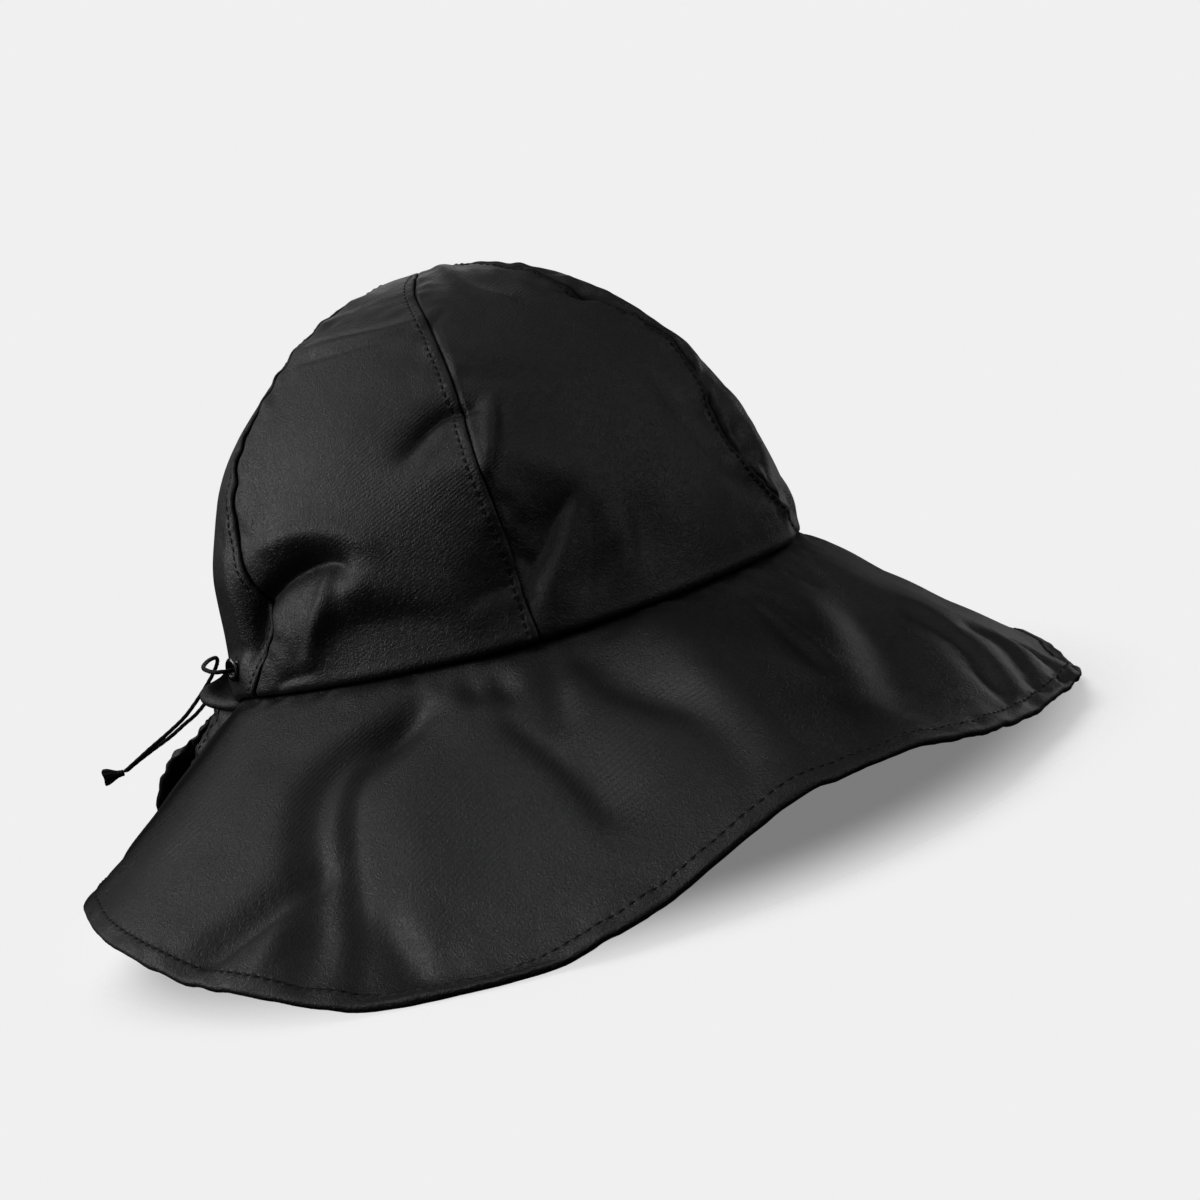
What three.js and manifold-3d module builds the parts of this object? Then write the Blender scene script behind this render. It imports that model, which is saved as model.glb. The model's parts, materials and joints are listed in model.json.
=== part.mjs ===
// A six-panel rain hat with a soft sloping brim, split at the back and drawn in by a cord.
// Millimetres, +Z up. +X is the front of the hat, -X its back, +Y the wearer's left side.
// The hat stands on the hem of its brim, and z = 0 is the surface under it.
// Azimuths are degrees about +Z from the front, so -90 is the wearer's right side.
import * as THREE from 'three';
import { mergeVertices } from 'three/addons/utils/BufferGeometryUtils.js';
import Module from 'manifold-3d';

const crown = {
  halfLength: 98,      // front to back at the lower edge, outside
  halfWidth: 84,       // side to side at the lower edge, outside
  depth: 112,          // lower edge to apex
  baseHeight: 64.5,    // lower edge above the surface that the hat stands on
  apexShift: 10,       // the crown leans this far towards the wearer's left
  sideDip: 3,          // the lower edge is this much lower at the sides than at the front
  backDroop: 9.5,      // and this much lower at the centre back
  backDroopWidth: 16,
  fullness: 0.05,      // how far the sides are fuller than an ellipse
  hexagonLow: 0.25,    // share of a hexagon in the lowest section, the rest is round
  hexagonHigh: 0.66,   // and in the highest
  hexagonScale: 1.045, // corners of the hexagon against the circle's radius
  seamGroove: 1.0,     // depth of the shallow groove at each seam
  seamGrooveWidth: 4,  // in degrees
  seamGrooveStart: 20, // it reaches its full depth this far above the lower edge
  wall: 1.4,
};
const panels = [
  { name: 'panel_front', azimuth: 0 },
  { name: 'panel_left_front', azimuth: 60 },
  { name: 'panel_left_back', azimuth: 120 },
  { name: 'panel_back', azimuth: 180 },
  { name: 'panel_right_back', azimuth: 240 },
  { name: 'panel_right_front', azimuth: 300 },
];
const panelGrid = { across: 15, up: 12, topRise: 0.985 };
const seamGap = 0.3;
const smallestRadius = 1.2;  // of the hole that the six panels leave at the apex

// The crown's axis is the centre of all the shapes below. The hat is then moved so that the
// middle of its footprint, given here from that axis, stands over the origin.
const footprintMiddle = { x: 9.6, y: -0.65 };

// Dents (negative) and swellings (positive) of the crown wall, in millimetres.
// height is above the lower edge, spanAround is in degrees and spanUp in millimetres.
const crownDents = [
  { azimuth: -130, height: 40, spanAround: 11, spanUp: 8, push: -4.5 },
  { azimuth: -130, height: 23, spanAround: 9, spanUp: 9, push: 2.0 },
  { azimuth: -98, height: 66, spanAround: 12, spanUp: 9, push: -4.5 },
  { azimuth: -87, height: 30, spanAround: 5, spanUp: 13, push: -3.5 },
  { azimuth: -79, height: 30, spanAround: 4, spanUp: 14, push: 2.0 },
  { azimuth: -68, height: 26, spanAround: 4, spanUp: 14, push: -2.5 },
  { azimuth: -115, height: 20, spanAround: 6, spanUp: 8, push: -2.5 },
  { azimuth: -60, height: 44, spanAround: 7, spanUp: 12, push: -2.0 },
  { azimuth: -38, height: 14, spanAround: 5, spanUp: 12, push: -2.5 },
  { azimuth: -120, height: 100, spanAround: 24, spanUp: 5, push: -2.0 },
  { azimuth: 180, height: 44, spanAround: 14, spanUp: 16, push: -3.5 },
  { azimuth: 4, height: 40, spanAround: 10, spanUp: 12, push: -3.5 },
  { azimuth: -5, height: 78, spanAround: 26, spanUp: 22, push: -2.5 },
  { azimuth: 48, height: 60, spanAround: 12, spanUp: 10, push: -4.0 },
  { azimuth: 72, height: 28, spanAround: 6, spanUp: 14, push: -3.0 },
  { azimuth: 118, height: 38, spanAround: 12, spanUp: 9, push: -4.5 },
];

// Beside the slit the cord draws the crown's lower edge into one outward and one inward fold.
const backFolds = [
  { azimuth: 169, span: 7, push: 14 },
  { azimuth: -172, span: 8, push: -2.5 },
];
const backFoldHeight = 13;

// The brim, a row for each bearing: height of the hem's lower edge above the surface (below
// zero where it is pressed flat), slant length from crown to hem, and how far the middle of
// the slope swells outward. The split lies between the last row and the first.
const brimRows = [
  { azimuth: -190, edge: 28, slant: 36, swell: 0 },
  { azimuth: -182, edge: 24, slant: 47, swell: 0 },
  { azimuth: -172, edge: 23, slant: 55, swell: 0 },
  { azimuth: -160, edge: 25, slant: 65, swell: 1 },
  { azimuth: -150, edge: 25.5, slant: 77, swell: 2 },
  { azimuth: -140, edge: 22, slant: 87, swell: 3 },
  { azimuth: -130, edge: 14, slant: 95.5, swell: 3 },
  { azimuth: -120, edge: 8, slant: 103, swell: 3 },
  { azimuth: -104, edge: -4.5, slant: 106.8, swell: 2 },
  { azimuth: -90, edge: 5.5, slant: 103, swell: 2 },
  { azimuth: -75, edge: 20, slant: 98.6, swell: 2 },
  { azimuth: -60, edge: 19, slant: 96.5, swell: 2 },
  { azimuth: -45, edge: 11.5, slant: 94.5, swell: 2 },
  { azimuth: -30, edge: 8, slant: 93.5, swell: 2 },
  { azimuth: -12, edge: -3.5, slant: 98, swell: 2 },
  { azimuth: 3, edge: -4.5, slant: 99.5, swell: 2 },
  { azimuth: 20, edge: 5, slant: 98, swell: 2 },
  { azimuth: 38, edge: 16, slant: 96, swell: 2 },
  { azimuth: 56, edge: 10, slant: 98, swell: 2 },
  { azimuth: 76, edge: -4.5, slant: 104, swell: 2 },
  { azimuth: 92, edge: 4, slant: 103, swell: 2 },
  { azimuth: 108, edge: 14, slant: 101, swell: 3 },
  { azimuth: 122, edge: 8, slant: 100, swell: 3 },
  { azimuth: 136, edge: -4.5, slant: 100, swell: 2 },
  { azimuth: 148, edge: 8, slant: 91, swell: 1 },
  { azimuth: 156, edge: 19, slant: 80, swell: 0 },
  { azimuth: 162, edge: 33, slant: 54, swell: 0 },
  { azimuth: 166, edge: 42, slant: 30, swell: 0 },
];

// Ridges (positive) and valleys (negative) that run down the brim: bearing at half slope,
// lean in degrees from top to hem, span in degrees, and where on the slope each starts and ends.
const brimFolds = [
  { azimuth: -112, lean: 4, span: 4.5, start: -0.1, end: 0.95, push: -4.0 },
  { azimuth: -121, lean: 0, span: 3.5, start: 0.15, end: 1.2, push: -3.0 },
  { azimuth: -116.5, lean: -4, span: 3.5, start: 0.3, end: 1.3, push: 2.0 },
  { azimuth: -90, lean: 2, span: 4, start: 0, end: 0.6, push: -1.5 },
  { azimuth: -81, lean: 6, span: 6, start: 0.1, end: 1.4, push: 3.0 },
  { azimuth: -61, lean: -36, span: 8, start: 0, end: 1.3, push: -4.0 },
  { azimuth: -49, lean: -12, span: 5, start: 0, end: 1.1, push: 2.0 },
  { azimuth: -30, lean: -10, span: 5, start: 0.2, end: 1.3, push: -2.0 },
  { azimuth: 12, lean: 6, span: 6, start: 0.1, end: 1.2, push: 2.5 },
  { azimuth: 30, lean: 0, span: 5, start: 0, end: 1.1, push: -3.0 },
  { azimuth: 66, lean: 8, span: 6, start: 0, end: 1.1, push: -3.0 },
  { azimuth: 84, lean: 0, span: 6, start: 0.1, end: 1.2, push: 2.5 },
  { azimuth: 118, lean: -8, span: 6, start: 0, end: 1.2, push: -3.5 },
  { azimuth: -176, lean: 0, span: 6, start: -0.2, end: 1.4, push: -4.0 },
];
const brim = {
  wall: 1.3,
  hem: 2.4,            // thickness of the turned and stitched hem
  hemWidth: 5,
  hemStep: 0.004,      // half the share of the slope in which the hem steps to its thickness
  stations: [0.06, 0.16, 0.3, 0.45, 0.6, 0.75, 0.9],  // sections from the crown to the hem
  clearance: 0.6,      // between the brim and the crown's lower edge
  tuck: 2.5,           // the brim's upper edge stands this far up inside the crown
  swellReach: 0.75,    // a swelling has this share of its full arch left at the hem
  columns: 89,         // 4 degrees each, so that they line up with the crown's
};

const eyelet = {
  bearing: 154, height: 72.2, flange: 3.8, barrel: 2.3, bore: 1.7, flangeThickness: 0.7,
  clearance: 0.6, sides: 20,
};

const cordDiameter = 1.4;
// Routes of the two strands after the eyelets: round the back above the outward fold, down
// its far side, then out side by side to the knot.
const rightStrand = [
  [-93.6, -37.2, 73.2], [-97.6, -29, 73.8], [-100.2, -18, 73.9], [-101.4, -6, 73.8],
  [-101.6, 5, 73.6], [-101.2, 14, 72.8], [-102.6, 21, 70.4], [-106, 25.6, 66.6],
  [-110.6, 27, 62.2], [-114.7, 25.6, 58.6], [-118.8, 22.4, 55.4], [-124.4, 19.6, 52.4],
  [-131.7, 16.6, 49], [-137.5, 14.8, 46.1], [-141.2, 14.1, 44.3],
];
const leftStrand = [
  [-94.4, 39.6, 71.4], [-99, 38, 68.4], [-104.4, 35, 63.8], [-110, 31.6, 58.9],
  [-115.8, 28, 54.7], [-119.8, 24.6, 52.9], [-124.6, 21.4, 50.6],
  [-131.7, 18.4, 48], [-137.5, 16.8, 45.7], [-141.2, 15.9, 44],
];
const knot = {
  start: [-141.9, 15, 44], direction: [-1, 0, 0.02], flatSide: [0, 1, 0],
  reach: 6.4, neck: 2.2, height: 5.4, thickness: 3.6,
};

const colours = {
  fabric: 0x26262a, metal: 0x1a1a1c, cord: 0x121214,
};

const toRadians = THREE.MathUtils.degToRad;
const between = (a, b, t) => a + (b - a) * t;

// Degrees from centre to azimuth, -180 to 180.
function turnFrom(centre, azimuth) {
  return ((((azimuth - centre + 180) % 360) + 360) % 360) - 180;
}

function bump(distance, span) {
  return Math.exp(-((distance / span) ** 2));
}

// Height of the crown's lower edge at a bearing.
function lowerEdge(azimuth) {
  const side = Math.sin(toRadians(azimuth)) ** 2;
  const droop = crown.backDroop * bump(turnFrom(180, azimuth), crown.backDroopWidth);
  return crown.baseHeight - crown.sideDip * side - droop;
}

// Radius factor of a section between a circle (0) and a hexagon with its corners at the seams (1).
function sectionFactor(azimuth, share) {
  const inPanel = toRadians(((((azimuth + 30) % 60) + 60) % 60) - 30);
  const hexagon = crown.hexagonScale * Math.cos(toRadians(30)) / Math.cos(inPanel);
  return 1 - share + share * hexagon;
}

// Degrees from the nearest seam.
function seamDistance(azimuth) {
  return (((azimuth % 60) + 60) % 60) - 30;
}

// Outward push of the crown wall at a bearing and a height above the lower edge.
function crownPush(azimuth, height) {
  let push = 0;
  for (const dent of crownDents) {
    const around = turnFrom(dent.azimuth, azimuth);
    push += dent.push * bump(around, dent.spanAround) * bump(height - dent.height, dent.spanUp);
  }
  const fade = Math.max(0, 1 - height / backFoldHeight);
  for (const fold of backFolds) {
    push += fold.push * fade * bump(turnFrom(fold.azimuth, azimuth), fold.span);
  }
  const sew = crown.seamGroove * Math.min(1, height / crown.seamGrooveStart);
  return push - sew * bump(seamDistance(azimuth), crown.seamGrooveWidth);
}

// A point of the crown: rise runs from 0 at the lower edge to 1 at the apex, inset is the
// distance inward from the outer face.
function crownPoint(azimuth, rise, inset = 0) {
  const angle = toRadians(azimuth);
  const climb = rise * Math.PI / 2;
  const power = 2 / (2 + crown.fullness * Math.sin(angle) ** 2);
  const share = between(crown.hexagonLow, crown.hexagonHigh, rise);
  const radius = Math.cos(climb) ** power * sectionFactor(azimuth, share);
  const height = (crown.depth - inset) * Math.sin(climb) ** power;
  const push = crownPush(azimuth, height);
  const bottom = between(lowerEdge(azimuth), crown.baseHeight, 1 - (1 - rise) ** 2);
  return new THREE.Vector3(
    Math.cos(angle) * ((crown.halfLength - inset) * radius + push),
    Math.sin(angle) * ((crown.halfWidth - inset) * radius + push) + crown.apexShift * rise ** 2,
    bottom + height,
  );
}

// The rise at which the crown's wall is this far above its lower edge.
function riseAt(height) {
  return Math.asin(height / crown.depth) / (Math.PI / 2);
}

// A smooth curve through one column of the brim's table.
function brimValue(azimuth, column) {
  const rows = brimRows;
  let i = rows.findIndex((row) => row.azimuth > azimuth) - 1;
  if (i < -1) i = rows.length - 2;
  i = Math.max(0, Math.min(rows.length - 2, i));
  const slope = (k) => {
    const a = rows[Math.max(0, k - 1)];
    const b = rows[Math.min(rows.length - 1, k + 1)];
    return (b[column] - a[column]) / (b.azimuth - a.azimuth);
  };
  const width = rows[i + 1].azimuth - rows[i].azimuth;
  const t = (azimuth - rows[i].azimuth) / width;
  return (2 * t ** 3 - 3 * t ** 2 + 1) * rows[i][column]
    + (t ** 3 - 2 * t ** 2 + t) * width * slope(i)
    + (-2 * t ** 3 + 3 * t ** 2) * rows[i + 1][column]
    + (t ** 3 - t ** 2) * width * slope(i + 1);
}

function foldPush(azimuth, slope) {
  let push = 0;
  for (const fold of brimFolds) {
    const along = (slope - fold.start) / (fold.end - fold.start);
    if (along <= 0 || along >= 1) continue;
    const centre = fold.azimuth + fold.lean * (slope - 0.5);
    push += fold.push * Math.sin(Math.PI * along) ** 2 * bump(turnFrom(centre, azimuth), fold.span);
  }
  return push;
}

// A point of the brim's upper face, and the direction out of it. slope runs from 0 at the
// crown's lower edge to 1 at the hem.
function brimPoint(azimuth, slope) {
  const base = crownPoint(azimuth, 0, crown.wall + brim.clearance);
  const outward = new THREE.Vector3(
    Math.cos(toRadians(azimuth)) / crown.halfLength,
    Math.sin(toRadians(azimuth)) / crown.halfWidth,
    0,
  ).normalize();
  const drop = base.z - brimValue(azimuth, 'edge');
  const slant = brimValue(azimuth, 'slant');
  const reach = Math.sqrt(Math.max(slant ** 2 - drop ** 2, 1));
  const face = outward.clone().multiplyScalar(drop / slant);
  face.z = reach / slant;
  const swell = brimValue(azimuth, 'swell') * Math.sin(Math.PI * slope * brim.swellReach);
  const push = swell + foldPush(azimuth, slope);
  const point = base.clone().addScaledVector(outward, reach * slope);
  point.z -= drop * slope;
  point.addScaledVector(face, push);
  return { point, face, slant };
}

// A closed body from two grids of points of the same size: the outer grid, the inner grid and
// the four strips between their borders. Rows run along the first index.
function shellGeometry(outer, inner) {
  const rows = outer.length;
  const columns = outer[0].length;
  const positions = [];
  for (const grid of [outer, inner]) {
    for (const row of grid) {
      for (const point of row) positions.push(point.x, point.y, point.z);
    }
  }
  const outerAt = (r, c) => r * columns + c;
  const innerAt = (r, c) => rows * columns + r * columns + c;
  const faces = [];
  const quad = (a, b, c, d) => faces.push(a, b, c, a, c, d);
  for (let r = 0; r < rows - 1; r += 1) {
    for (let c = 0; c < columns - 1; c += 1) {
      quad(outerAt(r, c), outerAt(r, c + 1), outerAt(r + 1, c + 1), outerAt(r + 1, c));
      quad(innerAt(r, c), innerAt(r + 1, c), innerAt(r + 1, c + 1), innerAt(r, c + 1));
    }
  }
  for (let c = 0; c < columns - 1; c += 1) {
    quad(innerAt(0, c), innerAt(0, c + 1), outerAt(0, c + 1), outerAt(0, c));
    const top = rows - 1;
    quad(outerAt(top, c), outerAt(top, c + 1), innerAt(top, c + 1), innerAt(top, c));
  }
  for (let r = 0; r < rows - 1; r += 1) {
    const last = columns - 1;
    quad(outerAt(r, 0), outerAt(r + 1, 0), innerAt(r + 1, 0), innerAt(r, 0));
    quad(innerAt(r, last), innerAt(r + 1, last), outerAt(r + 1, last), outerAt(r, last));
  }
  const geometry = new THREE.BufferGeometry();
  geometry.setAttribute('position', new THREE.Float32BufferAttribute(positions, 3));
  geometry.setIndex(faces);
  return geometry;
}

// One crown panel: rows climb from the lower edge, columns run from seam to seam.
function panelGeometry(azimuth) {
  const { across, up, topRise } = panelGrid;
  const grid = (inset) => {
    const rows = [];
    const low = riseAt(brim.tuck);
    const rises = [0];
    for (let r = 0; r < up; r += 1) rises.push(between(low, topRise, r / (up - 1)));
    for (const rise of rises) {
      const middle = crownPoint(azimuth, rise);
      const radius = Math.hypot(middle.x, middle.y - crown.apexShift * rise ** 2);
      const half = 30 - THREE.MathUtils.radToDeg(seamGap / 2 / Math.max(radius, smallestRadius));
      const row = [];
      for (let c = 0; c <= across; c += 1) {
        row.push(crownPoint(azimuth + half * between(-1, 1, c / across), rise, inset));
      }
      rows.push(row);
    }
    return rows;
  };
  return shellGeometry(grid(0), grid(crown.wall));
}

// The brim: rows go up inside the crown, down the slope and into the hem. The lower face is
// kept on or above the surface that the hat stands on, which flattens the hem where it rests.
function brimGeometry() {
  const first = brimRows[0].azimuth;
  const last = brimRows[brimRows.length - 1].azimuth;
  const upper = [];
  const lower = [];
  for (let c = 0; c <= brim.columns; c += 1) {
    const azimuth = between(first, last, c / brim.columns);
    const { slant } = brimPoint(azimuth, 0);
    const hemStart = 1 - brim.hemWidth / slant;
    const slopes = brim.stations.map((share) => share * hemStart);
    slopes.push(hemStart - brim.hemStep, hemStart + brim.hemStep, 1);
    const column = [];
    const start = crownPoint(azimuth, 0, crown.wall + brim.clearance);
    const inwards = new THREE.Vector3(Math.cos(toRadians(azimuth)), Math.sin(toRadians(azimuth)), 0);
    const high = crownPoint(azimuth, riseAt(brim.tuck), crown.wall + brim.clearance);
    column.push({ top: high, low: high.clone().addScaledVector(inwards, -brim.wall) });
    column.push({ top: start, low: start.clone().addScaledVector(inwards, -brim.wall) });
    for (const slope of slopes) {
      const { point, face } = brimPoint(azimuth, slope);
      const thickness = slope > hemStart ? brim.hem : brim.wall;
      const low = point.clone().addScaledVector(face, -thickness);
      low.z = Math.max(0, low.z);
      point.z = Math.max(point.z, low.z + thickness * face.z);
      column.push({ top: point, low });
    }
    upper.push(column.map((pair) => pair.top));
    lower.push(column.map((pair) => pair.low));
  }
  return shellGeometry(upper, lower);
}

// Where an eyelet sits on the outer face of the back panel, with the direction out of the wall.
function eyeletSeat(side) {
  const azimuth = side * eyelet.bearing;
  const height = eyelet.height - lowerEdge(azimuth);
  const rise = riseAt(height);
  const centre = crownPoint(azimuth, rise);
  const step = 2;
  const around = crownPoint(azimuth + step, rise).sub(crownPoint(azimuth - step, rise));
  const up = crownPoint(azimuth, riseAt(height + step)).sub(centre);
  return { centre, outward: around.cross(up).normalize() };
}

function placeOnAxis(mesh, centre, direction) {
  mesh.position.copy(centre);
  mesh.quaternion.setFromUnitVectors(new THREE.Vector3(0, 1, 0), direction);
}

// An eyelet is a rolled ring: a flange on each face of the wall and a barrel through it.
function eyeletGeometry() {
  const out = eyelet.clearance;
  const back = -crown.wall - eyelet.clearance;
  const t = eyelet.flangeThickness;
  const profile = [
    [eyelet.bore, back - t * 0.4], [eyelet.barrel, back - t], [eyelet.flange - 0.3, back - t],
    [eyelet.flange, back], [eyelet.barrel, back], [eyelet.barrel, out], [eyelet.flange, out],
    [eyelet.flange - 0.3, out + t], [eyelet.barrel, out + t], [eyelet.bore, out + t * 0.4],
    [eyelet.bore, back - t * 0.4],
  ];
  return new THREE.LatheGeometry(profile.map(([r, y]) => new THREE.Vector2(r, y)), eyelet.sides);
}

// A strand of cord: from inside its eyelet's bore straight out, then along its route.
function strandGeometry(side, route) {
  const { centre, outward } = eyeletSeat(side);
  const start = [-3, 0, 2.5].map((distance) => centre.clone().addScaledVector(outward, distance));
  const points = route.map(([x, y, z]) => new THREE.Vector3(x, y, z));
  const path = new THREE.CatmullRomCurve3([...start, ...points], false, 'centripetal');
  const section = new THREE.Shape();
  const sides = 8;
  for (let k = 0; k < sides; k += 1) {
    const angle = (k / sides) * 2 * Math.PI;
    const x = Math.cos(angle) * cordDiameter / 2;
    const y = Math.sin(angle) * cordDiameter / 2;
    if (k === 0) section.moveTo(x, y);
    else section.lineTo(x, y);
  }
  section.closePath();
  return new THREE.ExtrudeGeometry(section, { steps: 40, extrudePath: path, curveSegments: 1 });
}

// The knot: a flattened fan that widens away from the strands.
function knotGeometry() {
  const outline = new THREE.Shape();
  const half = knot.height / 2;
  const neck = knot.neck / 2;
  outline.moveTo(0, -neck);
  outline.quadraticCurveTo(knot.reach * 0.5, -neck, knot.reach * 0.8, -half);
  outline.quadraticCurveTo(knot.reach * 1.2, 0, knot.reach * 0.8, half);
  outline.quadraticCurveTo(knot.reach * 0.5, neck, 0, neck);
  outline.closePath();
  const edge = 0.6;
  const geometry = new THREE.ExtrudeGeometry(outline, {
    depth: knot.thickness - 2 * edge, bevelEnabled: true, bevelThickness: edge,
    bevelSize: edge, bevelOffset: -edge, bevelSegments: 1, curveSegments: 5, steps: 1,
  });
  geometry.translate(0, 0, edge - knot.thickness / 2);
  return geometry;
}

// A closed triangle mesh as a solid that can be cut, and back.
const solids = await Module();
solids.setup();

function toSolid(geometry) {
  const bare = geometry.clone();
  for (const name of Object.keys(bare.attributes)) {
    if (name !== 'position') bare.deleteAttribute(name);
  }
  const merged = mergeVertices(bare, 1e-4);
  return new solids.Manifold(new solids.Mesh({
    numProp: 3,
    vertProperties: Float32Array.from(merged.attributes.position.array),
    triVerts: Uint32Array.from(merged.index.array),
  }));
}

function fromSolid(solid) {
  const mesh = solid.getMesh();
  const geometry = new THREE.BufferGeometry();
  geometry.setAttribute('position', new THREE.Float32BufferAttribute(mesh.vertProperties, 3));
  geometry.setIndex(Array.from(mesh.triVerts));
  return geometry;
}

function eyeletHole(side) {
  const { centre, outward } = eyeletSeat(side);
  const cutter = new THREE.CylinderGeometry(
    eyelet.barrel + 0.3, eyelet.barrel + 0.3, 4 * crown.wall, eyelet.sides,
  );
  const turn = new THREE.Quaternion().setFromUnitVectors(new THREE.Vector3(0, 1, 0), outward);
  cutter.applyQuaternion(turn);
  const middle = centre.clone().addScaledVector(outward, -crown.wall / 2);
  cutter.translate(middle.x, middle.y, middle.z);
  return toSolid(cutter);
}

const fabric = new THREE.MeshStandardMaterial({ color: colours.fabric, roughness: 0.5 });
const metal = new THREE.MeshStandardMaterial({ color: colours.metal, roughness: 0.25, metalness: 1 });
const cordFinish = new THREE.MeshStandardMaterial({ color: colours.cord, roughness: 0.6 });

const hat = new THREE.Group();

function add(name, geometry, material) {
  const mesh = new THREE.Mesh(geometry, material);
  mesh.name = name;
  hat.add(mesh);
  return mesh;
}

for (const panel of panels) {
  let geometry = panelGeometry(panel.azimuth);
  if (panel.name === 'panel_back') {
    geometry = fromSolid(toSolid(geometry).subtract(eyeletHole(-1)).subtract(eyeletHole(1)));
  }
  add(panel.name, geometry, fabric);
}

add('brim', brimGeometry(), fabric);

for (const [name, side] of [['eyelet_right', -1], ['eyelet_left', 1]]) {
  const { centre, outward } = eyeletSeat(side);
  placeOnAxis(add(name, eyeletGeometry(), metal), centre, outward);
}

add('cord_right', strandGeometry(-1, rightStrand), cordFinish);
add('cord_left', strandGeometry(1, leftStrand), cordFinish);

const knotMesh = add('cord_knot', knotGeometry(), cordFinish);
const away = new THREE.Vector3(...knot.direction).normalize();
const flat = new THREE.Vector3(...knot.flatSide).cross(away).normalize();
knotMesh.position.set(...knot.start);
knotMesh.quaternion.setFromRotationMatrix(
  new THREE.Matrix4().makeBasis(away, flat, away.clone().cross(flat)),
);

hat.position.set(-footprintMiddle.x, -footprintMiddle.y, 0);

export default hat;
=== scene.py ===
# Rain hat: six crown panels sewn to a soft sloping brim, split at the back and drawn in by a cord.
# Sizes here are millimetres and degrees. +X is the front of the hat, +Z up, the floor is z = 0,
# bearings are degrees about +Z from the front, so -90 is the side that faces the camera.
# Shapes are worked out about the crown's axis and moved into the frame when the mesh is made.
import math
import bpy
import numpy as np
from mathutils import Matrix, Vector
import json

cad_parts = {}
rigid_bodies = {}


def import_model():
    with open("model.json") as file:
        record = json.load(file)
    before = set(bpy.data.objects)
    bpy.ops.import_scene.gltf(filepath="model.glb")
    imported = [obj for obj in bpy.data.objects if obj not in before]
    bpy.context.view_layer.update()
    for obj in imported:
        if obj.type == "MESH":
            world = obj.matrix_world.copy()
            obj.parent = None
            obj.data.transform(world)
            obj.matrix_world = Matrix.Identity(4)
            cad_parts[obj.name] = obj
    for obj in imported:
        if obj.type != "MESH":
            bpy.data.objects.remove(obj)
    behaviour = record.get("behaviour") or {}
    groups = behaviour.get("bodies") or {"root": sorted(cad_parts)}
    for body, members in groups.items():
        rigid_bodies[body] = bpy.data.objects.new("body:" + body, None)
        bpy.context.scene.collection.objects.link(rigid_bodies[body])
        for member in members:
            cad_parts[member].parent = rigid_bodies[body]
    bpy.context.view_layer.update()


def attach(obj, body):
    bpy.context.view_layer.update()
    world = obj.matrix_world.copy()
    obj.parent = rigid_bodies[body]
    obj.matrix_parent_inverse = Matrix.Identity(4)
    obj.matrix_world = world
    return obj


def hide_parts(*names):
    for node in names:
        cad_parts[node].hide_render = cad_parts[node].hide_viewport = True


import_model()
scene = bpy.context.scene
mm = 0.001
crownAxis = np.array([-9.6, 0.65, 0.0])  # the crown's axis in the frame

# Camera: where it stands, what it looks at, and how far it is turned about its own axis
cameraSetup = {
    "place": (-20.8, -497.9, 118.4),
    "target": (17.4, 0.65, 57.8),
    "roll": 15.39,
    "lens": 45.4,
    "sensor": 36.0,
}


def makeCamera(setup):
    data = bpy.data.cameras.new("camera")
    data.lens = setup["lens"]
    data.sensor_width = setup["sensor"]
    data.clip_start = 0.01
    data.clip_end = 20
    data.dof.use_dof = False
    camera = bpy.data.objects.new("camera", data)
    scene.collection.objects.link(camera)
    place = Vector(setup["place"]) * mm
    forward = (Vector(setup["target"]) * mm - place).normalized()
    right = forward.cross(Vector((0, 0, 1))).normalized()
    up = right.cross(forward)
    turn = math.radians(setup["roll"])
    rolledRight = right * math.cos(turn) - up * math.sin(turn)
    rolledUp = right * math.sin(turn) + up * math.cos(turn)
    camera.matrix_world = Matrix.Translation(place) @ Matrix(
        (rolledRight, rolledUp, -forward)).transposed().to_4x4()
    scene.camera = camera


makeCamera(cameraSetup)
print("camera set")


def lerp(a, b, t):
    return a + (b - a) * t


def bell(distance, span):
    return np.exp(-(distance / span) ** 2)


def smooth(low, high, x):
    t = np.clip((x - low) / (high - low), 0, 1)
    return t * t * (3 - 2 * t)


def turnFrom(centre, azimuth):
    return (azimuth - centre + 180) % 360 - 180


def unit(v):
    return v / np.maximum(np.linalg.norm(v, axis=-1, keepdims=True), 1e-12)


def fullTurn(count):
    return np.arange(count) * 2 * np.pi / count


def twice(field):
    # The same values for the outer and the inner grid of a shell
    return np.concatenate([field, field])


def roundedEdge(share, least):
    # A quarter circle: the root of least at the very edge, 1 from share 1 inwards
    return np.sqrt(np.clip(1 - (1 - np.clip(share, 0, 1)) ** 2, least, 1))


def lengthAlong(points):
    # The way gone along a line at each of its points
    return np.concatenate([[0], np.cumsum(np.linalg.norm(np.diff(points, axis=0), axis=1))])


def sampledAt(at, gone, values):
    return np.stack([np.interp(at, gone, values[:, k]) for k in range(3)], -1)


def throughRows(rows, at):
    # A smooth curve through (place, value) rows: cubic Hermite, each slope that of its neighbours
    t = rows[:, 0]
    v = rows[:, 1]
    slope = np.gradient(v, t)
    i = np.clip(np.searchsorted(t, at, side="right") - 1, 0, len(t) - 2)
    width = t[i + 1] - t[i]
    f = np.clip((at - t[i]) / width, 0, 1)
    return ((2 * f**3 - 3 * f**2 + 1) * v[i] + (f**3 - 2 * f**2 + f) * width * slope[i]
            + (3 * f**2 - 2 * f**3) * v[i + 1] + (f**3 - f**2) * width * slope[i + 1])


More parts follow.
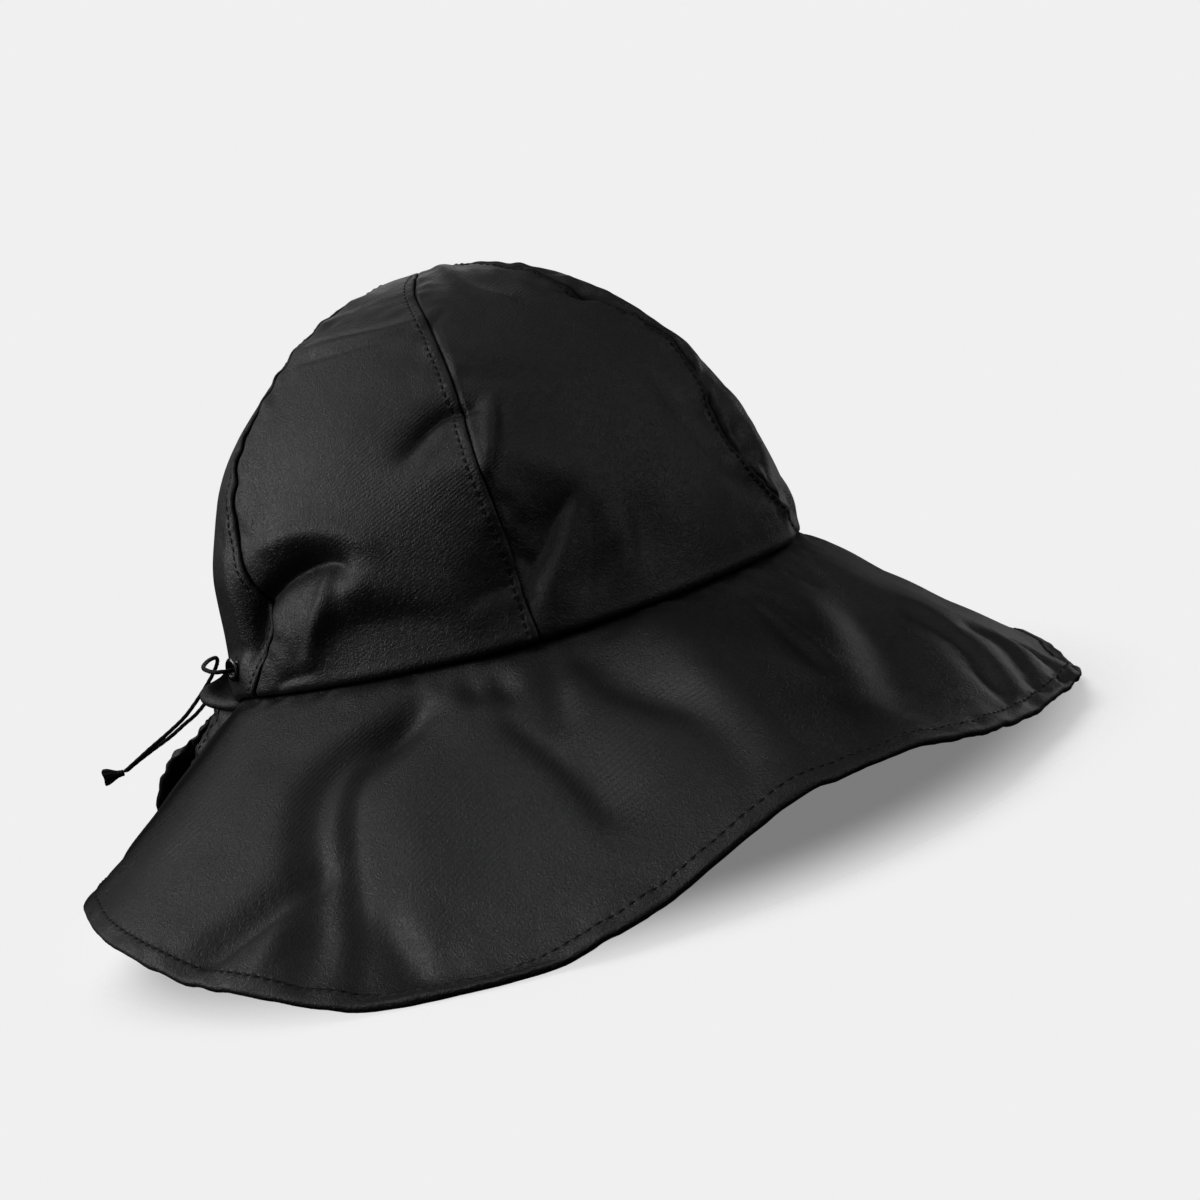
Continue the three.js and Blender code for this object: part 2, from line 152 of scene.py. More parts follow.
def curveThrough(points, steps):
    # Centripetal Catmull-Rom: knots spaced by the square root of each chord, two lerps a level
    p = np.array(points, float)
    p = np.vstack([2 * p[0] - p[1], p, 2 * p[-1] - p[-2]])
    knots = np.concatenate([[0], np.cumsum(np.linalg.norm(np.diff(p, axis=0), axis=1) ** 0.5)])
    at = np.linspace(knots[1], knots[-2], steps)
    i = np.clip(np.searchsorted(knots, at, side="right") - 1, 1, len(p) - 3)

    def blend(a, b, low, high):
        return a + (b - a) * ((at - knots[low]) / (knots[high] - knots[low]))[:, None]

    a1 = blend(p[i - 1], p[i], i - 1, i)
    a2 = blend(p[i], p[i + 1], i, i + 1)
    a3 = blend(p[i + 1], p[i + 2], i + 1, i + 2)
    b1 = blend(a1, a2, i - 1, i + 1)
    b2 = blend(a2, a3, i, i + 2)
    return blend(b1, b2, i, i + 1)


def evenly(points, step):
    # The same line with its points the same distance apart
    gone = lengthAlong(points)
    return sampledAt(np.linspace(0, gone[-1], max(2, int(round(gone[-1] / step)) + 1)), gone, points)


def gridQuads(rows, columns, start=0, flip=False, wrap=False, closed=False):
    # wrap joins the last column to the first, closed the last row to the first
    r, c = np.meshgrid(
        np.arange(rows if closed else rows - 1), np.arange(columns if wrap else columns - 1), indexing="ij")
    n = (r + 1) % rows
    d = (c + 1) % columns
    quads = np.stack([r * columns + c, r * columns + d, n * columns + d, n * columns + c], -1)
    quads = quads.reshape(-1, 4) + start
    return quads[:, ::-1] if flip else quads


def makeMesh(name, points, faces, uv=None, marks=None):
    # points in millimetres about the crown's axis, faces one or more arrays of vertex numbers
    verts = (points.reshape(-1, 3) + crownAxis) * mm
    blocks = faces if isinstance(faces, list) else [faces]
    corners = np.concatenate([block.ravel() for block in blocks]).astype(np.int32)
    sizes = np.concatenate([np.full(len(block), block.shape[1]) for block in blocks]).astype(np.int32)
    mesh = bpy.data.meshes.new(name)
    mesh.vertices.add(len(verts))
    mesh.vertices.foreach_set("co", verts.astype(np.float32).ravel())
    mesh.loops.add(len(corners))
    mesh.loops.foreach_set("vertex_index", corners)
    mesh.polygons.add(len(sizes))
    mesh.polygons.foreach_set("loop_start", np.concatenate([[0], np.cumsum(sizes)[:-1]]).astype(np.int32))
    mesh.polygons.foreach_set("loop_total", sizes)
    mesh.update(calc_edges=True)
    mesh.validate()
    mesh.polygons.foreach_set("use_smooth", np.ones(len(mesh.polygons), bool))
    if uv is not None:
        layer = mesh.uv_layers.new(name="cut")
        layer.data.foreach_set("uv", uv.reshape(-1, 2)[corners].astype(np.float32).ravel())
    for label, values in (marks or {}).items():
        attribute = mesh.attributes.new(label, "FLOAT", "POINT")
        attribute.data.foreach_set("value", values.astype(np.float32).ravel())
    piece = bpy.data.objects.new(name, mesh)
    scene.collection.objects.link(piece)
    return piece


def gridNormals(points):
    # Out of a grid of points: the way along its rows crossed with the way across them
    return unit(np.cross(np.gradient(points, axis=1), np.gradient(points, axis=0)))


def shellFaces(rows, columns, flip):
    # Two grids back to back and the strip that joins their borders
    count = rows * columns
    border = np.concatenate([
        np.arange(columns), np.arange(1, rows) * columns + columns - 1,
        (rows - 1) * columns + np.arange(columns - 2, -1, -1), np.arange(rows - 2, 0, -1) * columns])
    after = np.roll(border, -1)
    rim = np.stack([after, border, border + count, after + count], -1)
    if flip:
        rim = rim[:, ::-1]
    return np.concatenate([
        gridQuads(rows, columns, 0, flip), gridQuads(rows, columns, count, not flip), rim])


def makeShell(name, outer, inner, uv, marks, flip=False):
    faces = shellFaces(*outer.shape[:2], flip)
    marks = {label: twice(field) for label, field in marks.items()}
    return makeMesh(name, np.concatenate([outer, inner]), faces, twice(uv), marks)


class Waves:
    # Smooth unevenness: a sum of plane waves in space, wavelengths between two sizes, seeded
    def __init__(self, seed, shortest, longest, count):
        dice = np.random.default_rng(seed)
        direction = unit(dice.normal(size=(count, 3)))
        length = shortest * (longest / shortest) ** dice.random(count)
        self.pull = direction * (2 * np.pi / length)[:, None]
        self.phase = dice.random(count) * 2 * np.pi
        self.weight = (length / longest) ** 0.5

    def at(self, points):
        total = 0
        for pull, phase, weight in zip(self.pull, self.phase, self.weight):
            total = total + weight * np.sin(points @ pull + phase)
        return total / np.sqrt(np.sum(self.weight ** 2) / 2)


# The crown: an ellipse below that grows into a rounded hexagon, leaning a little to the far side
crown = {
    "halfLength": 98.0,
    "halfWidth": 84.0,
    "depth": 112.0,
    "baseHeight": 64.5,
    "apexShift": 10.0,
    "sideDip": 3.0,
    "backDroop": 9.5,
    "backDroopWidth": 16.0,
    "fullness": 0.05,
    "hexagonLow": 0.25,
    "hexagonHigh": 0.66,
    "hexagonScale": 1.045,
    "wall": 1.4,
    "uneven": 0.16,
    "foldCrispness": 0.45,
    "arc": 160.0,        # from the lower edge to the apex over the cloth
    "foldHeight": 13.0,  # the cord's folds in the lower edge fade out this far up
}
cordFolds = [(169, 7, 14.0), (-172, 8, -2.5)]  # bearing, span and push at the lower edge


def lowerEdge(azimuth):
    side = np.sin(np.radians(azimuth)) ** 2
    droop = crown["backDroop"] * bell(turnFrom(180, azimuth), crown["backDroopWidth"])
    return crown["baseHeight"] - crown["sideDip"] * side - droop


def riseAt(height):
    return np.arcsin(np.clip(height / crown["depth"], 0, 1)) / (np.pi / 2)


def crownPoint(azimuth, rise, inset=0.0):
    # x and y: half length and half width times cosine of the climb, times the hexagon's factor;
    # z: the lower edge plus the depth times the sine of the climb
    angle = np.radians(azimuth)
    climb = rise * np.pi / 2
    power = 2 / (2 + crown["fullness"] * np.sin(angle) ** 2)
    share = lerp(crown["hexagonLow"], crown["hexagonHigh"], rise)
    inPanel = np.radians((azimuth + 30) % 60 - 30)
    factor = 1 - share + share * crown["hexagonScale"] * math.cos(math.pi / 6) / np.cos(inPanel)
    radius = np.clip(np.cos(climb), 0, 1) ** power * factor
    height = (crown["depth"] - inset) * np.sin(climb) ** power
    fade = np.clip(1 - height / crown["foldHeight"], 0, 1)
    push = sum(amount * fade * bell(turnFrom(at, azimuth), span) for at, span, amount in cordFolds)
    bottom = lerp(lowerEdge(azimuth), crown["baseHeight"], 1 - (1 - rise) ** 2)
    return np.stack([
        np.cos(angle) * ((crown["halfLength"] - inset) * radius + push),
        np.sin(angle) * ((crown["halfWidth"] - inset) * radius + push) + crown["apexShift"] * rise ** 2,
        bottom + height], -1)


# Eyelets in the back panel
eyelet = {
    "bearing": 154.0,
    "height": 72.2,
    "flange": 3.8,
    "bore": 1.7,
    "barrel": 2.3,
    "clearance": 0.6,
    "tilt": 0.3,  # the gathered cloth turns it a little to its own side
    "beadSteps": 13,
    "beadRise": 0.75,
    "sides": 56,
}


def eyeletSeat(side):
    azimuth = np.array(side * eyelet["bearing"])
    height = eyelet["height"] - lowerEdge(azimuth)
    centre = crownPoint(azimuth, riseAt(height))
    around = crownPoint(azimuth + 2, riseAt(height)) - crownPoint(azimuth - 2, riseAt(height))
    up = crownPoint(azimuth, riseAt(height + 2)) - centre
    return centre, unit(np.cross(around, up))


# The cord: one strand from each eyelet, the right one round the back, then side by side to a knot
cord = {
    "diameter": 1.4,
    "sides": 20,
    "step": 0.3,
    "twistPitch": 2.6,            # one turn of the three plies
    "plies": 3,
    "plyDepth": 0.05,
    "throughWall": (-3, 0, 2.5),  # where each strand starts, along its eyelet's axis
    "endRounding": 0.5,
    "curveSteps": 600,
    "rightStrand": [
        (-93.6, -37.2, 73.2), (-97.6, -29, 73.8), (-100.2, -18, 73.9), (-101.4, -6, 73.8),
        (-101.6, 5, 73.6), (-101.2, 14, 72.8), (-102.6, 21, 70.4), (-106, 25.6, 66.6),
        (-110.6, 27, 62.2), (-114.7, 25.6, 58.6), (-118.8, 22.4, 55.4), (-124.4, 19.6, 52.4),
        (-131.7, 16.6, 49), (-137.5, 14.8, 46.1), (-141.2, 14.1, 44.3)],
    "leftStrand": [
        (-94.4, 39.6, 71.4), (-99, 38, 68.4), (-104.4, 35, 63.8), (-110, 31.6, 58.9),
        (-115.8, 28, 54.7), (-119.8, 24.6, 52.9), (-124.6, 21.4, 50.6),
        (-131.7, 18.4, 48), (-137.5, 16.8, 45.7), (-141.2, 15.9, 44)],
}


def carriedFrames(line):
    # Two directions across a line, carried along it without turning about it
    along = unit(np.gradient(line, axis=0))
    first = np.zeros_like(line)
    start = np.cross(along[0], (0, 0, 1))
    first[0] = start / np.linalg.norm(start)
    for i in range(1, len(line)):
        moved = first[i - 1] - along[i] * (first[i - 1] @ along[i])
        first[i] = moved / np.linalg.norm(moved)
    return first, np.cross(along, first)


def tube(line, radius, sides):
    # A closed tube: rings of points about the line, radius one number for each ring and side
    across, upward = carriedFrames(line)
    turn = fullTurn(sides)
    ring = across[:, None] * np.cos(turn)[None, :, None] + upward[:, None] * np.sin(turn)[None, :, None]
    rings = line[:, None] + ring * np.broadcast_to(radius, (len(line), sides))[..., None]
    points = np.vstack([rings.reshape(-1, 3), line[:1], line[-1:]])
    body = gridQuads(len(line), sides, 0, False, True)
    first = np.arange(sides)
    last = first + (len(line) - 1) * sides
    startFan = np.stack([np.full(sides, len(points) - 2), np.roll(first, -1), first], -1)
    endFan = np.stack([np.full(sides, len(points) - 1), last, np.roll(last, -1)], -1)
    return points, body, np.vstack([startFan, endFan])


def makeStrand(name, side, route):
    # Three plies twisted: the radius drops by a cosine of the turn and of the way gone
    centre, outward = eyeletSeat(side)
    start = [centre + outward * distance for distance in cord["throughWall"]]
    line = evenly(curveThrough(start + [np.array(p) for p in route], cord["curveSteps"]), cord["step"])
    gone = np.arange(len(line)) * cord["step"]
    turn = fullTurn(cord["sides"])
    twist = turn[None, :] * cord["plies"] + 2 * np.pi * gone[:, None] / cord["twistPitch"]
    radius = cord["diameter"] / 2 * (1 - cord["plyDepth"] * (1 - np.cos(twist)))
    ends = np.minimum(gone, gone[::-1])
    radius = radius * np.sqrt(np.clip(ends[:, None] / cord["endRounding"], 0.1, 1))
    points, body, fans = tube(line, radius, cord["sides"])
    return makeMesh(name, points, [body, fans]), line


knot = {
    "start": (-141.9, 15.0, 44.0),
    "direction": (-1.0, 0.0, 0.02),
    "flatSide": (0.0, 1.0, 0.0),
    "reach": 6.4,
    "neck": 2.2,
    "height": 5.4,
    "thickness": 3.6,
    "rings": 44,
    "sides": 64,
    "whipping": 0.12,  # two turns of thread stand this proud at the neck
    "plies": 11,
    "plyRipple": 0.05,
    "looseRipple": 0.04,
}


def makeKnot():
    # A fan of cut plies: half height and half thickness grow from the neck to the cut end,
    # with a ripple for each ply that deepens outward
    away = unit(np.array(knot["direction"]))
    flat = unit(np.cross(knot["flatSide"], away))
    thick = np.cross(away, flat)
    along = np.concatenate([np.linspace(-0.06, 0.98, knot["rings"]), [1.0, 1.0, 1.0]])
    sides = knot["sides"]
    turn = fullTurn(sides)
    grown = smooth(0.05, 0.9, along)
    slim = knot["neck"] / 2 * 0.9
    high = lerp(slim, knot["height"] / 2, grown)
    deep = lerp(slim, knot["thickness"] / 2 * 0.8, grown)
    wrap = knot["whipping"] * bell(along - 0.16, 0.07) + knot["whipping"] * bell(along - 0.02, 0.07)
    shrink = np.ones_like(along)
    shrink[-3:] = (0.9, 0.6, 0.0)
    shrink[0] = 0.2
    plies = knot["plyRipple"] * np.cos(knot["plies"] * turn) + knot["looseRipple"] * np.cos(5 * turn + 1)
    size = (1 + grown[:, None] * plies[None, :]) * shrink[:, None]
    reach = knot["reach"] * (along[:, None] + 0.03 * grown[:, None] * np.cos(3 * turn + 2)[None, :])
    points = (np.array(knot["start"]) + away * reach[..., None]
              + flat * ((high + wrap)[:, None] * np.cos(turn) * size)[..., None]
              + thick * ((deep + wrap)[:, None] * np.sin(turn) * size)[..., None])
    points[0] = lerp(points[0], points[0].mean(0), 0.5)
    # the last ring has shrunk to one point, and the neck is closed with a fan about its middle
    places = np.vstack([points[:-1].reshape(-1, 3), points[-1].mean(0)[None], points[0].mean(0)[None]])
    body = gridQuads(len(along) - 1, sides, 0, True, True)
    first = np.arange(sides)
    last = first + (len(along) - 2) * sides
    neckFan = np.stack([np.full(sides, len(places) - 1), first, np.roll(first, -1)], -1)
    tipFan = np.stack([np.full(sides, len(places) - 2), np.roll(last, -1), last], -1)
    return makeMesh("cord_fan", places, [body, neckFan, tipFan])


strandRight, lineRight = makeStrand("cord_strand_right", -1, cord["rightStrand"])
strandLeft, lineLeft = makeStrand("cord_strand_left", 1, cord["leftStrand"])
fan = makeKnot()
for piece, line, node in ((strandRight, lineRight, "cord_right"), (strandLeft, lineLeft, "cord_left")):
    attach(piece, "root")
    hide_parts(node)
    print(node, "length", round(float(lengthAlong((line + crownAxis) * mm)[-1]), 4))
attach(fan, "root")
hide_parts("cord_knot")
tuple((lineRight[0] + crownAxis) * mm)
(lineRight + crownAxis) * mm
tuple((lineLeft[0] + crownAxis) * mm)
(lineLeft + crownAxis) * mm
print("cord made")


# Folds. Each is a line through (bearing, up) points, up in mm over the cloth from the crown's
# lower edge, or down the brim as a negative number; push is outward at its middle, and the two
# widths are how far it reaches to the left and to the right of the line's own direction
foldShape = {
    "reach": 2.6,         # in widths, as the next four are
    "turnSoftness": 0.6,
    "softStep": 0.7,
    "crispStep": 0.3,
    "crispWidth": 0.4,
    "endFade": 0.4,       # share of the push that is lost at the ends
    "crispPush": 2.0,     # a fold pushed this far, and with both widths below the next, is crisp
    "crispBelow": 10.0,
    "leastRadius": 15.0,  # near the apex, where bearings crowd together
}


def foldPush(azimuth, up, radius, folds, crispness):
    # A fold is a row of bells set along its path, each with one width to the left and another to
    # the right, divided so that the middle of a long straight fold comes to exactly its push.
    # The deeper ones also hold a row of narrower bells, for a crisper middle
    total = np.zeros_like(azimuth)
    for path, push, widthLeft, widthRight in folds:
        places = np.array(path, float)
        reach = foldShape["reach"] * max(widthLeft, widthRight)
        halfway = (places[:, 0].min() + places[:, 0].max()) / 2
        room = np.ptp(places[:, 0]) / 2 + np.degrees(reach / np.maximum(radius, foldShape["leastRadius"]))
        near = ((up > places[:, 1].min() - reach) & (up < places[:, 1].max() + reach)
                & (np.abs(turnFrom(halfway, azimuth)) < room))
        if not near.any():
            continue
        toLength = (math.radians(float(radius[near].mean())), 1, 1)
        line = np.array([(a, b, 0) for a, b in path], float) * toLength
        if len(line) > 2:
            line = curveThrough(line, 16 * len(line))
        deep = abs(push) >= foldShape["crispPush"] and max(widthLeft, widthRight) < foldShape["crispBelow"]
        crisp = crispness if deep else 0.0
        line = evenly(line, foldShape["crispStep" if crisp else "softStep"] * min(widthLeft, widthRight))
        step = np.linalg.norm(line[1] - line[0])
        flow = unit(np.gradient(line, axis=0))
        bearings = line[:, 0] / toLength[0]
        across = np.radians(turnFrom(bearings, azimuth[near][:, None])) * radius[near][:, None]
        rise = up[near][:, None] - line[:, 1]
        gap = np.hypot(across, rise) + 1e-6
        turned = np.hypot(gap, foldShape["turnSoftness"] * min(widthLeft, widthRight))
        leftness = (flow[:, 0] * rise - flow[:, 1] * across) / turned
        width = lerp(widthRight, widthLeft, leftness / 2 + 0.5)
        share = np.linspace(-1, 1, len(line))
        weight = step / (math.sqrt(math.pi) * width) * (1 - foldShape["endFade"] * share ** 4)
        profile = (1 - crisp) * bell(gap, width)
        if crisp:
            narrow = foldShape["crispWidth"]
            profile = profile + crisp / narrow * bell(gap, width * narrow)
        total[near] += push * (profile * weight).sum(-1)
    return total


def patchesAt(azimuth, up, radius, spots):
    # Round patches of (bearing, up, reach): where the cloth is stretched on the bias,
    # and where the brim has painted shade
    return sum(bell(np.hypot(np.radians(turnFrom(at, azimuth)) * radius, up - height), reach)
               for at, height, reach in spots)


def upAt(height):
    return float(riseAt(height)) * crown["arc"]


# Crown folds as (path of (bearing, height), push, width left, width right), height in mm
crownFolds = [
    ([(-146, 10), (-144.5, 17), (-143, 25), (-136.5, 31), (-129.5, 34), (-124, 33.5), (-120, 31.5)],
     -6.5, 5, 8.5),
    ([(-142, 41), (-130, 43), (-120, 40), (-113, 35)], 2.0, 8, 6),
    ([(-124, 33), (-125, 24), (-128, 17), (-132, 7)], 3.0, 8, 5),
    ([(-121, 25), (-116, 25)], 2.2, 7, 7),
    ([(-132, 7.5), (-128, 10.5), (-122, 13), (-115.5, 13.5), (-110, 12), (-103, 8)], -2.7, 5.5, 10),
    ([(-105, 56), (-101, 61), (-95.6, 64.7), (-87.6, 63.5)], -3.8, 5, 3.5),
    ([(-85, 65), (-88, 54), (-90.5, 45)], 3.2, 3, 6),
    ([(-101, 45), (-93.6, 46), (-89, 46), (-82, 43), (-77, 38)], 3.0, 7, 17),
    ([(-78, 35), (-81, 30.7), (-84, 24.8), (-87.6, 18.9), (-90, 11)], -6.0, 3.8, 11),
    ([(-74, 29), (-77, 16), (-80, 8)], -1.9, 3, 5),
    ([(-71.6, 18), (-74.4, 12), (-76.4, 8)], -1.3, 2.2, 3),
    ([(-63.5, 27), (-64.5, 19), (-65.6, 11)], -1.95, 9, 5),
    ([(-44.5, 62), (-45.5, 50), (-44, 38), (-41, 28), (-39, 20)], -1.3, 9, 4),
    ([(-146, 94), (-122, 93), (-109, 92), (-95, 92)], 2.4, 9, 6),
    ([(-140, 91), (-122, 90.6), (-109, 90.2), (-97.5, 90.2)], -0.7, 1.5, 1.2),
    ([(-70, 111), (-73, 101), (-64, 93.7)], 1.2, 4, 2),
    ([(-91, 75), (-83.6, 72), (-75, 68)], -0.8, 6, 4),
    ([(-94, 90), (-88, 94)], -1.0, 1.5, 2),
    ([(-103, 28), (-98, 34)], -1.0, 10, 10),
    ([(-98, 15.5), (-95, 16.5), (-91.5, 17)], -1.2, 7, 2.5),
    ([(-141, 1.8), (-137, 3.8), (-131, 4.6)], -0.7, 1.5, 1.2),
    ([(-42, 93), (-36, 89), (-31, 84)], -2.6, 5, 3.5),
    ([(-27, 48), (-28, 36), (-28.5, 25)], 1.7, 3.5, 4),
    ([(-26, 70), (-26.5, 60)], 1.3, 3.5, 4),
    ([(-22, 18), (-17, 6)], 1.4, 3.5, 4),
    ([(-172, 39), (-160, 37), (-148, 35)], 0.6, 8, 6),
    ([(-172, 16.5), (-160, 16), (-147, 15.5)], -2.8, 11, 4),
    ([(-38, 47), (-35, 38)], -1.0, 3, 5),
    ([(-24, 50), (-22, 40)], 1.2, 4, 5),
    ([(150, 66), (180, 66), (210, 66)], 2.6, 18, 18),
    ([(160, 28), (180, 28), (200, 28)], -1.2, 14, 14),
    ([(172, 40), (180, 46), (184, 42)], -1.5, 9, 12),
    ([(-160, 60), (-166, 30), (-168, 8)], 2.0, 14, 14),
    ([(164, 1), (178, 1)], 4.5, 6, 6),
    ([(-78, 100), (-55, 99), (-34, 92)], -1.6, 14, 14),
    ([(-4, 30), (4, 42), (14, 46)], -3.0, 10, 6),
    ([(38, 56), (48, 62), (60, 58)], -3.2, 8, 5),
    ([(70, 44), (73, 28), (69, 12)], -2.6, 4, 7),
    ([(78, 40), (82, 24), (86, 10)], 1.8, 4, 3),
    ([(106, 34), (118, 40), (129, 34)], -4.2, 7, 4),
    ([(112, 26), (110, 12)], 1.6, 4, 3),
    ([(104, 8), (116, 12), (128, 9)], -2.4, 6, 4),
]
crownFolds = [([(a, upAt(h)) for a, h in path], push, left, right) for path, push, left, right in crownFolds]

crownStrain = [(-104, 50, 34), (-60, 110, 26), (60, 60, 40), (150, 70, 36)]

# How far each seam strays from its straight bearing: (height, degrees)
seamWander = {
    30: [(0, 0), (30, 2), (60, -1), (90, 1), (112, 0)],
    90: [(0, 0), (30, -1), (60, 1), (90, 2), (112, 0)],
    150: [(0, -2), (15, -6), (30, -3), (60, 1), (90, 0), (112, 0)],
    210: [(0, 2), (9, 6), (18, 10), (27, 8), (43, 4), (62, 1), (80, 0), (112, 0)],
    270: [(0, 1), (30, 0), (60, -1.2), (78, -2), (92, -4), (106, -8), (112, -8)],
    330: [(0, 6), (8, 3), (16, -1), (27, -5), (44, -5.5), (56, -3), (66, -1), (78, -2), (90, -6), (112, -4)],
}
# How deep each seam is drawn in and how much it puckers, against the plain ones
seamDraw = {30: (1, 1), 90: (1, 1), 150: (1.3, 1.5), 210: (1.3, 1.2), 270: (1, 1), 330: (1.9, 1.8)}
for bearing, rows in seamWander.items():
    seamWander[bearing] = np.array(rows, float)

seam = {
    "bandWidth": 2.5,    # the felled allowance, stitched down on one side
    "bandRise": 0.3,
    "stitchInset": 2.5,
    "lineDepth": 1.0,    # the seam line itself
    "lineWidth": 0.75,
    "puckerDepth": 0.3,
    "puckerReach": 6.0,
    "needleDepth": 0.22,
    "needleWidth": 0.5,
    "shadeHigh": 0.3,    # half widths of the painted shade along the seam line, on the side of each panel
    "shadeLow": 0.5,
    "stitchFrom": 2.5,   # stitches start this far up and stop where the panel is this wide
    "stitchRoom": 12.0,
    "edges": [0, .25, .5, .75, 1.0, 1.3, 1.6, 1.9, 2.2, 2.5, 2.8, 3.05, 3.3, 3.6, 4.1, 4.9, 6.0, 7.2],
}
thread = {
    "radius": 0.27,
    "sides": 6,
    "rings": 7,
    "gap": 0.7,
    "seamPitch": 2.6,
    "hemPitch": 2.9,
    "proud": 0.06,
    "dive": 0.4,
}
panels = {
    "panel_front": 0, "panel_left_front": 60, "panel_left_back": 120,
    "panel_back": 180, "panel_right_back": 240, "panel_right_front": 300,
}
panelGrid = {
    "middle": 78,
    "lowRows": [0, .25, .5, .8, 1.2, 1.7, 2.3, 3.0, 4.0, 5.0],
    "rows": 150,
    "firstRow": 6.0,
    "topRise": 0.9975,
}
# The crown's lower edge, turned under, with painted shade on its lowest part
roll = {"height": 1.6, "width": 1.6, "push": 0.3, "tuck": 1.0, "tuckReach": 0.7, "shade": (0.05, 0.6)}
# Painted deep shade in the hollow of the gather above the cord, between two heights over the edge
gatherShade = {"bearing": 173, "span": 13, "depth": 0.95, "from": (1.6, 3.4), "to": (12, 17)}
uneven = Waves(11, 14, 60, 26)
rumple = Waves(5, 5, 14, 30)


def seamBearing(base, height):
    return base + throughRows(seamWander[base % 360], height)


def makePanel(name, bearing):
    rises = np.concatenate([
        np.array(panelGrid["lowRows"]) / crown["arc"],
        np.linspace(panelGrid["firstRow"] / crown["arc"], panelGrid["topRise"], panelGrid["rows"])])
    heights = crown["depth"] * np.sin(rises * np.pi / 2)
    low = seamBearing(bearing - 30, heights)
    high = seamBearing(bearing + 30, heights)
    meanRadius = np.cos(rises * np.pi / 2) * (crown["halfLength"] + crown["halfWidth"]) / 2
    width = np.radians(high - low) * meanRadius
    edges = np.array(seam["edges"])
    room = np.minimum(1, width / (2 * edges[-1] + 10))
    leftPart = edges[None, :] * room[:, None]
    rightPart = width[:, None] - leftPart[:, ::-1]
    t = np.linspace(0, 1, panelGrid["middle"] + 2)[1:-1]
    middlePart = lerp(leftPart[:, -1:], rightPart[:, :1], t[None, :])
    across = np.hstack([leftPart, middlePart, rightPart])
    azimuth = low[:, None] + across / width[:, None] * (high - low)[:, None]
    rise = np.broadcast_to(rises[:, None], azimuth.shape)
    radius = np.broadcast_to(np.maximum(meanRadius, 1)[:, None], azimuth.shape)
    up = rise * crown["arc"]
    base = crownPoint(azimuth, rise)
    normal = gridNormals(base)
    toLow = across
    toHigh = width[:, None] - across
    small = smooth(4, 26, width)[:, None]  # seams flatten out where the panel narrows to its tip
    stitchedDown = seam["bandRise"] * (1 - smooth(seam["bandWidth"] - 0.5, seam["bandWidth"] + 1.3, toHigh))
    needle = seam["needleDepth"] * bell(toHigh - seam["stitchInset"], seam["needleWidth"])
    deepLow, drawLow = seamDraw[(bearing - 30) % 360]
    deepHigh, drawHigh = seamDraw[(bearing + 30) % 360]
    # painted shade, drawn by the matt dark shader: along both seam lines, on the turned-under edge and in the
    # gather's hollow
    seamShade = (bell(toHigh, seam["shadeHigh"] * deepHigh ** 3)
                 + bell(toLow, seam["shadeLow"] * deepLow ** 1.2))
    paintedShade = seamShade * small + 1 - smooth(*roll["shade"], up)
    paintedShade = paintedShade + (
        gatherShade["depth"] * bell(turnFrom(gatherShade["bearing"], azimuth), gatherShade["span"])
        * smooth(*gatherShade["from"], up) * (1 - smooth(*gatherShade["to"], up)))
    line = seam["lineDepth"] * ((deepHigh - 0.6) * bell(toHigh, seam["lineWidth"] / 2 * deepHigh)
                                + deepLow * bell(toLow, seam["lineWidth"] * deepLow ** 0.5))
    pucker = seam["puckerDepth"] * rumple.at(base) * (
        drawLow * np.exp(-toLow / seam["puckerReach"]) + drawHigh * np.exp(-toHigh / seam["puckerReach"]))
    lip = roll["push"] * bell(up - roll["height"], roll["width"]) - roll["tuck"] * bell(up, roll["tuckReach"])
    push = (foldPush(azimuth, up, radius, crownFolds, crown["foldCrispness"])
            + crown["uneven"] * uneven.at(base)
            + small * (stitchedDown - needle - line + pucker) + lip)
    middle = base + normal * (push - crown["wall"] / 2)[..., None]
    normal = gridNormals(middle)
    edge = np.minimum(np.minimum(toLow, toHigh), up)
    half = crown["wall"] / 2 * roundedEdge(edge / (crown["wall"] / 2), 0.02)
    half = half * np.minimum(1, width / 4)[:, None]  # thinner where the panel narrows to its tip
    outer = middle + normal * half[..., None]
    inner = middle - normal * half[..., None]
    uv = np.stack([across / 100, up / 100], -1)
    # rubbed wear with a painted highlight: a lighter colour on the band's edge, beside the seam line and on
    # the turned edge
    wearAndHighlight = (0.6 * bell(toHigh - seam["bandWidth"], 0.5) + 0.5 * bell(toHigh - 0.6, 0.5)
            + 0.6 * bell(up - 1.4, 1.0))
    # the seam's stitches run along the column that stands nearest to their inset
    nearest = int(np.argmin(np.abs(edges[::-1] - seam["stitchInset"])))
    column = len(edges) + panelGrid["middle"] + nearest
    rowsOn = (width > seam["stitchRoom"]) & (rises * crown["arc"] > seam["stitchFrom"])
    gone = lengthAlong(outer[:, column])
    piece = makeShell(name + "_cloth", outer, inner, uv, {
        "wearAndHighlight": wearAndHighlight,
        "stitchRow": bell(toHigh - seam["stitchInset"], 0.6) * small,
        "stitchBeat": (gone - gone[np.argmax(rowsOn)])[:, None] / thread["seamPitch"] + 0 * across,
        "paintedShade": paintedShade,
        "strain": patchesAt(azimuth, up, radius, crownStrain)})
    return piece, outer[rowsOn, column], normal[rowsOn, column]


seamLines = []
for name, bearing in panels.items():
    piece, points, normals = makePanel(name, bearing)
    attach(piece, "root")
    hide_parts(name)
    seamLines.append((points, normals))
    print("panel", name, len(piece.data.polygons), "faces")


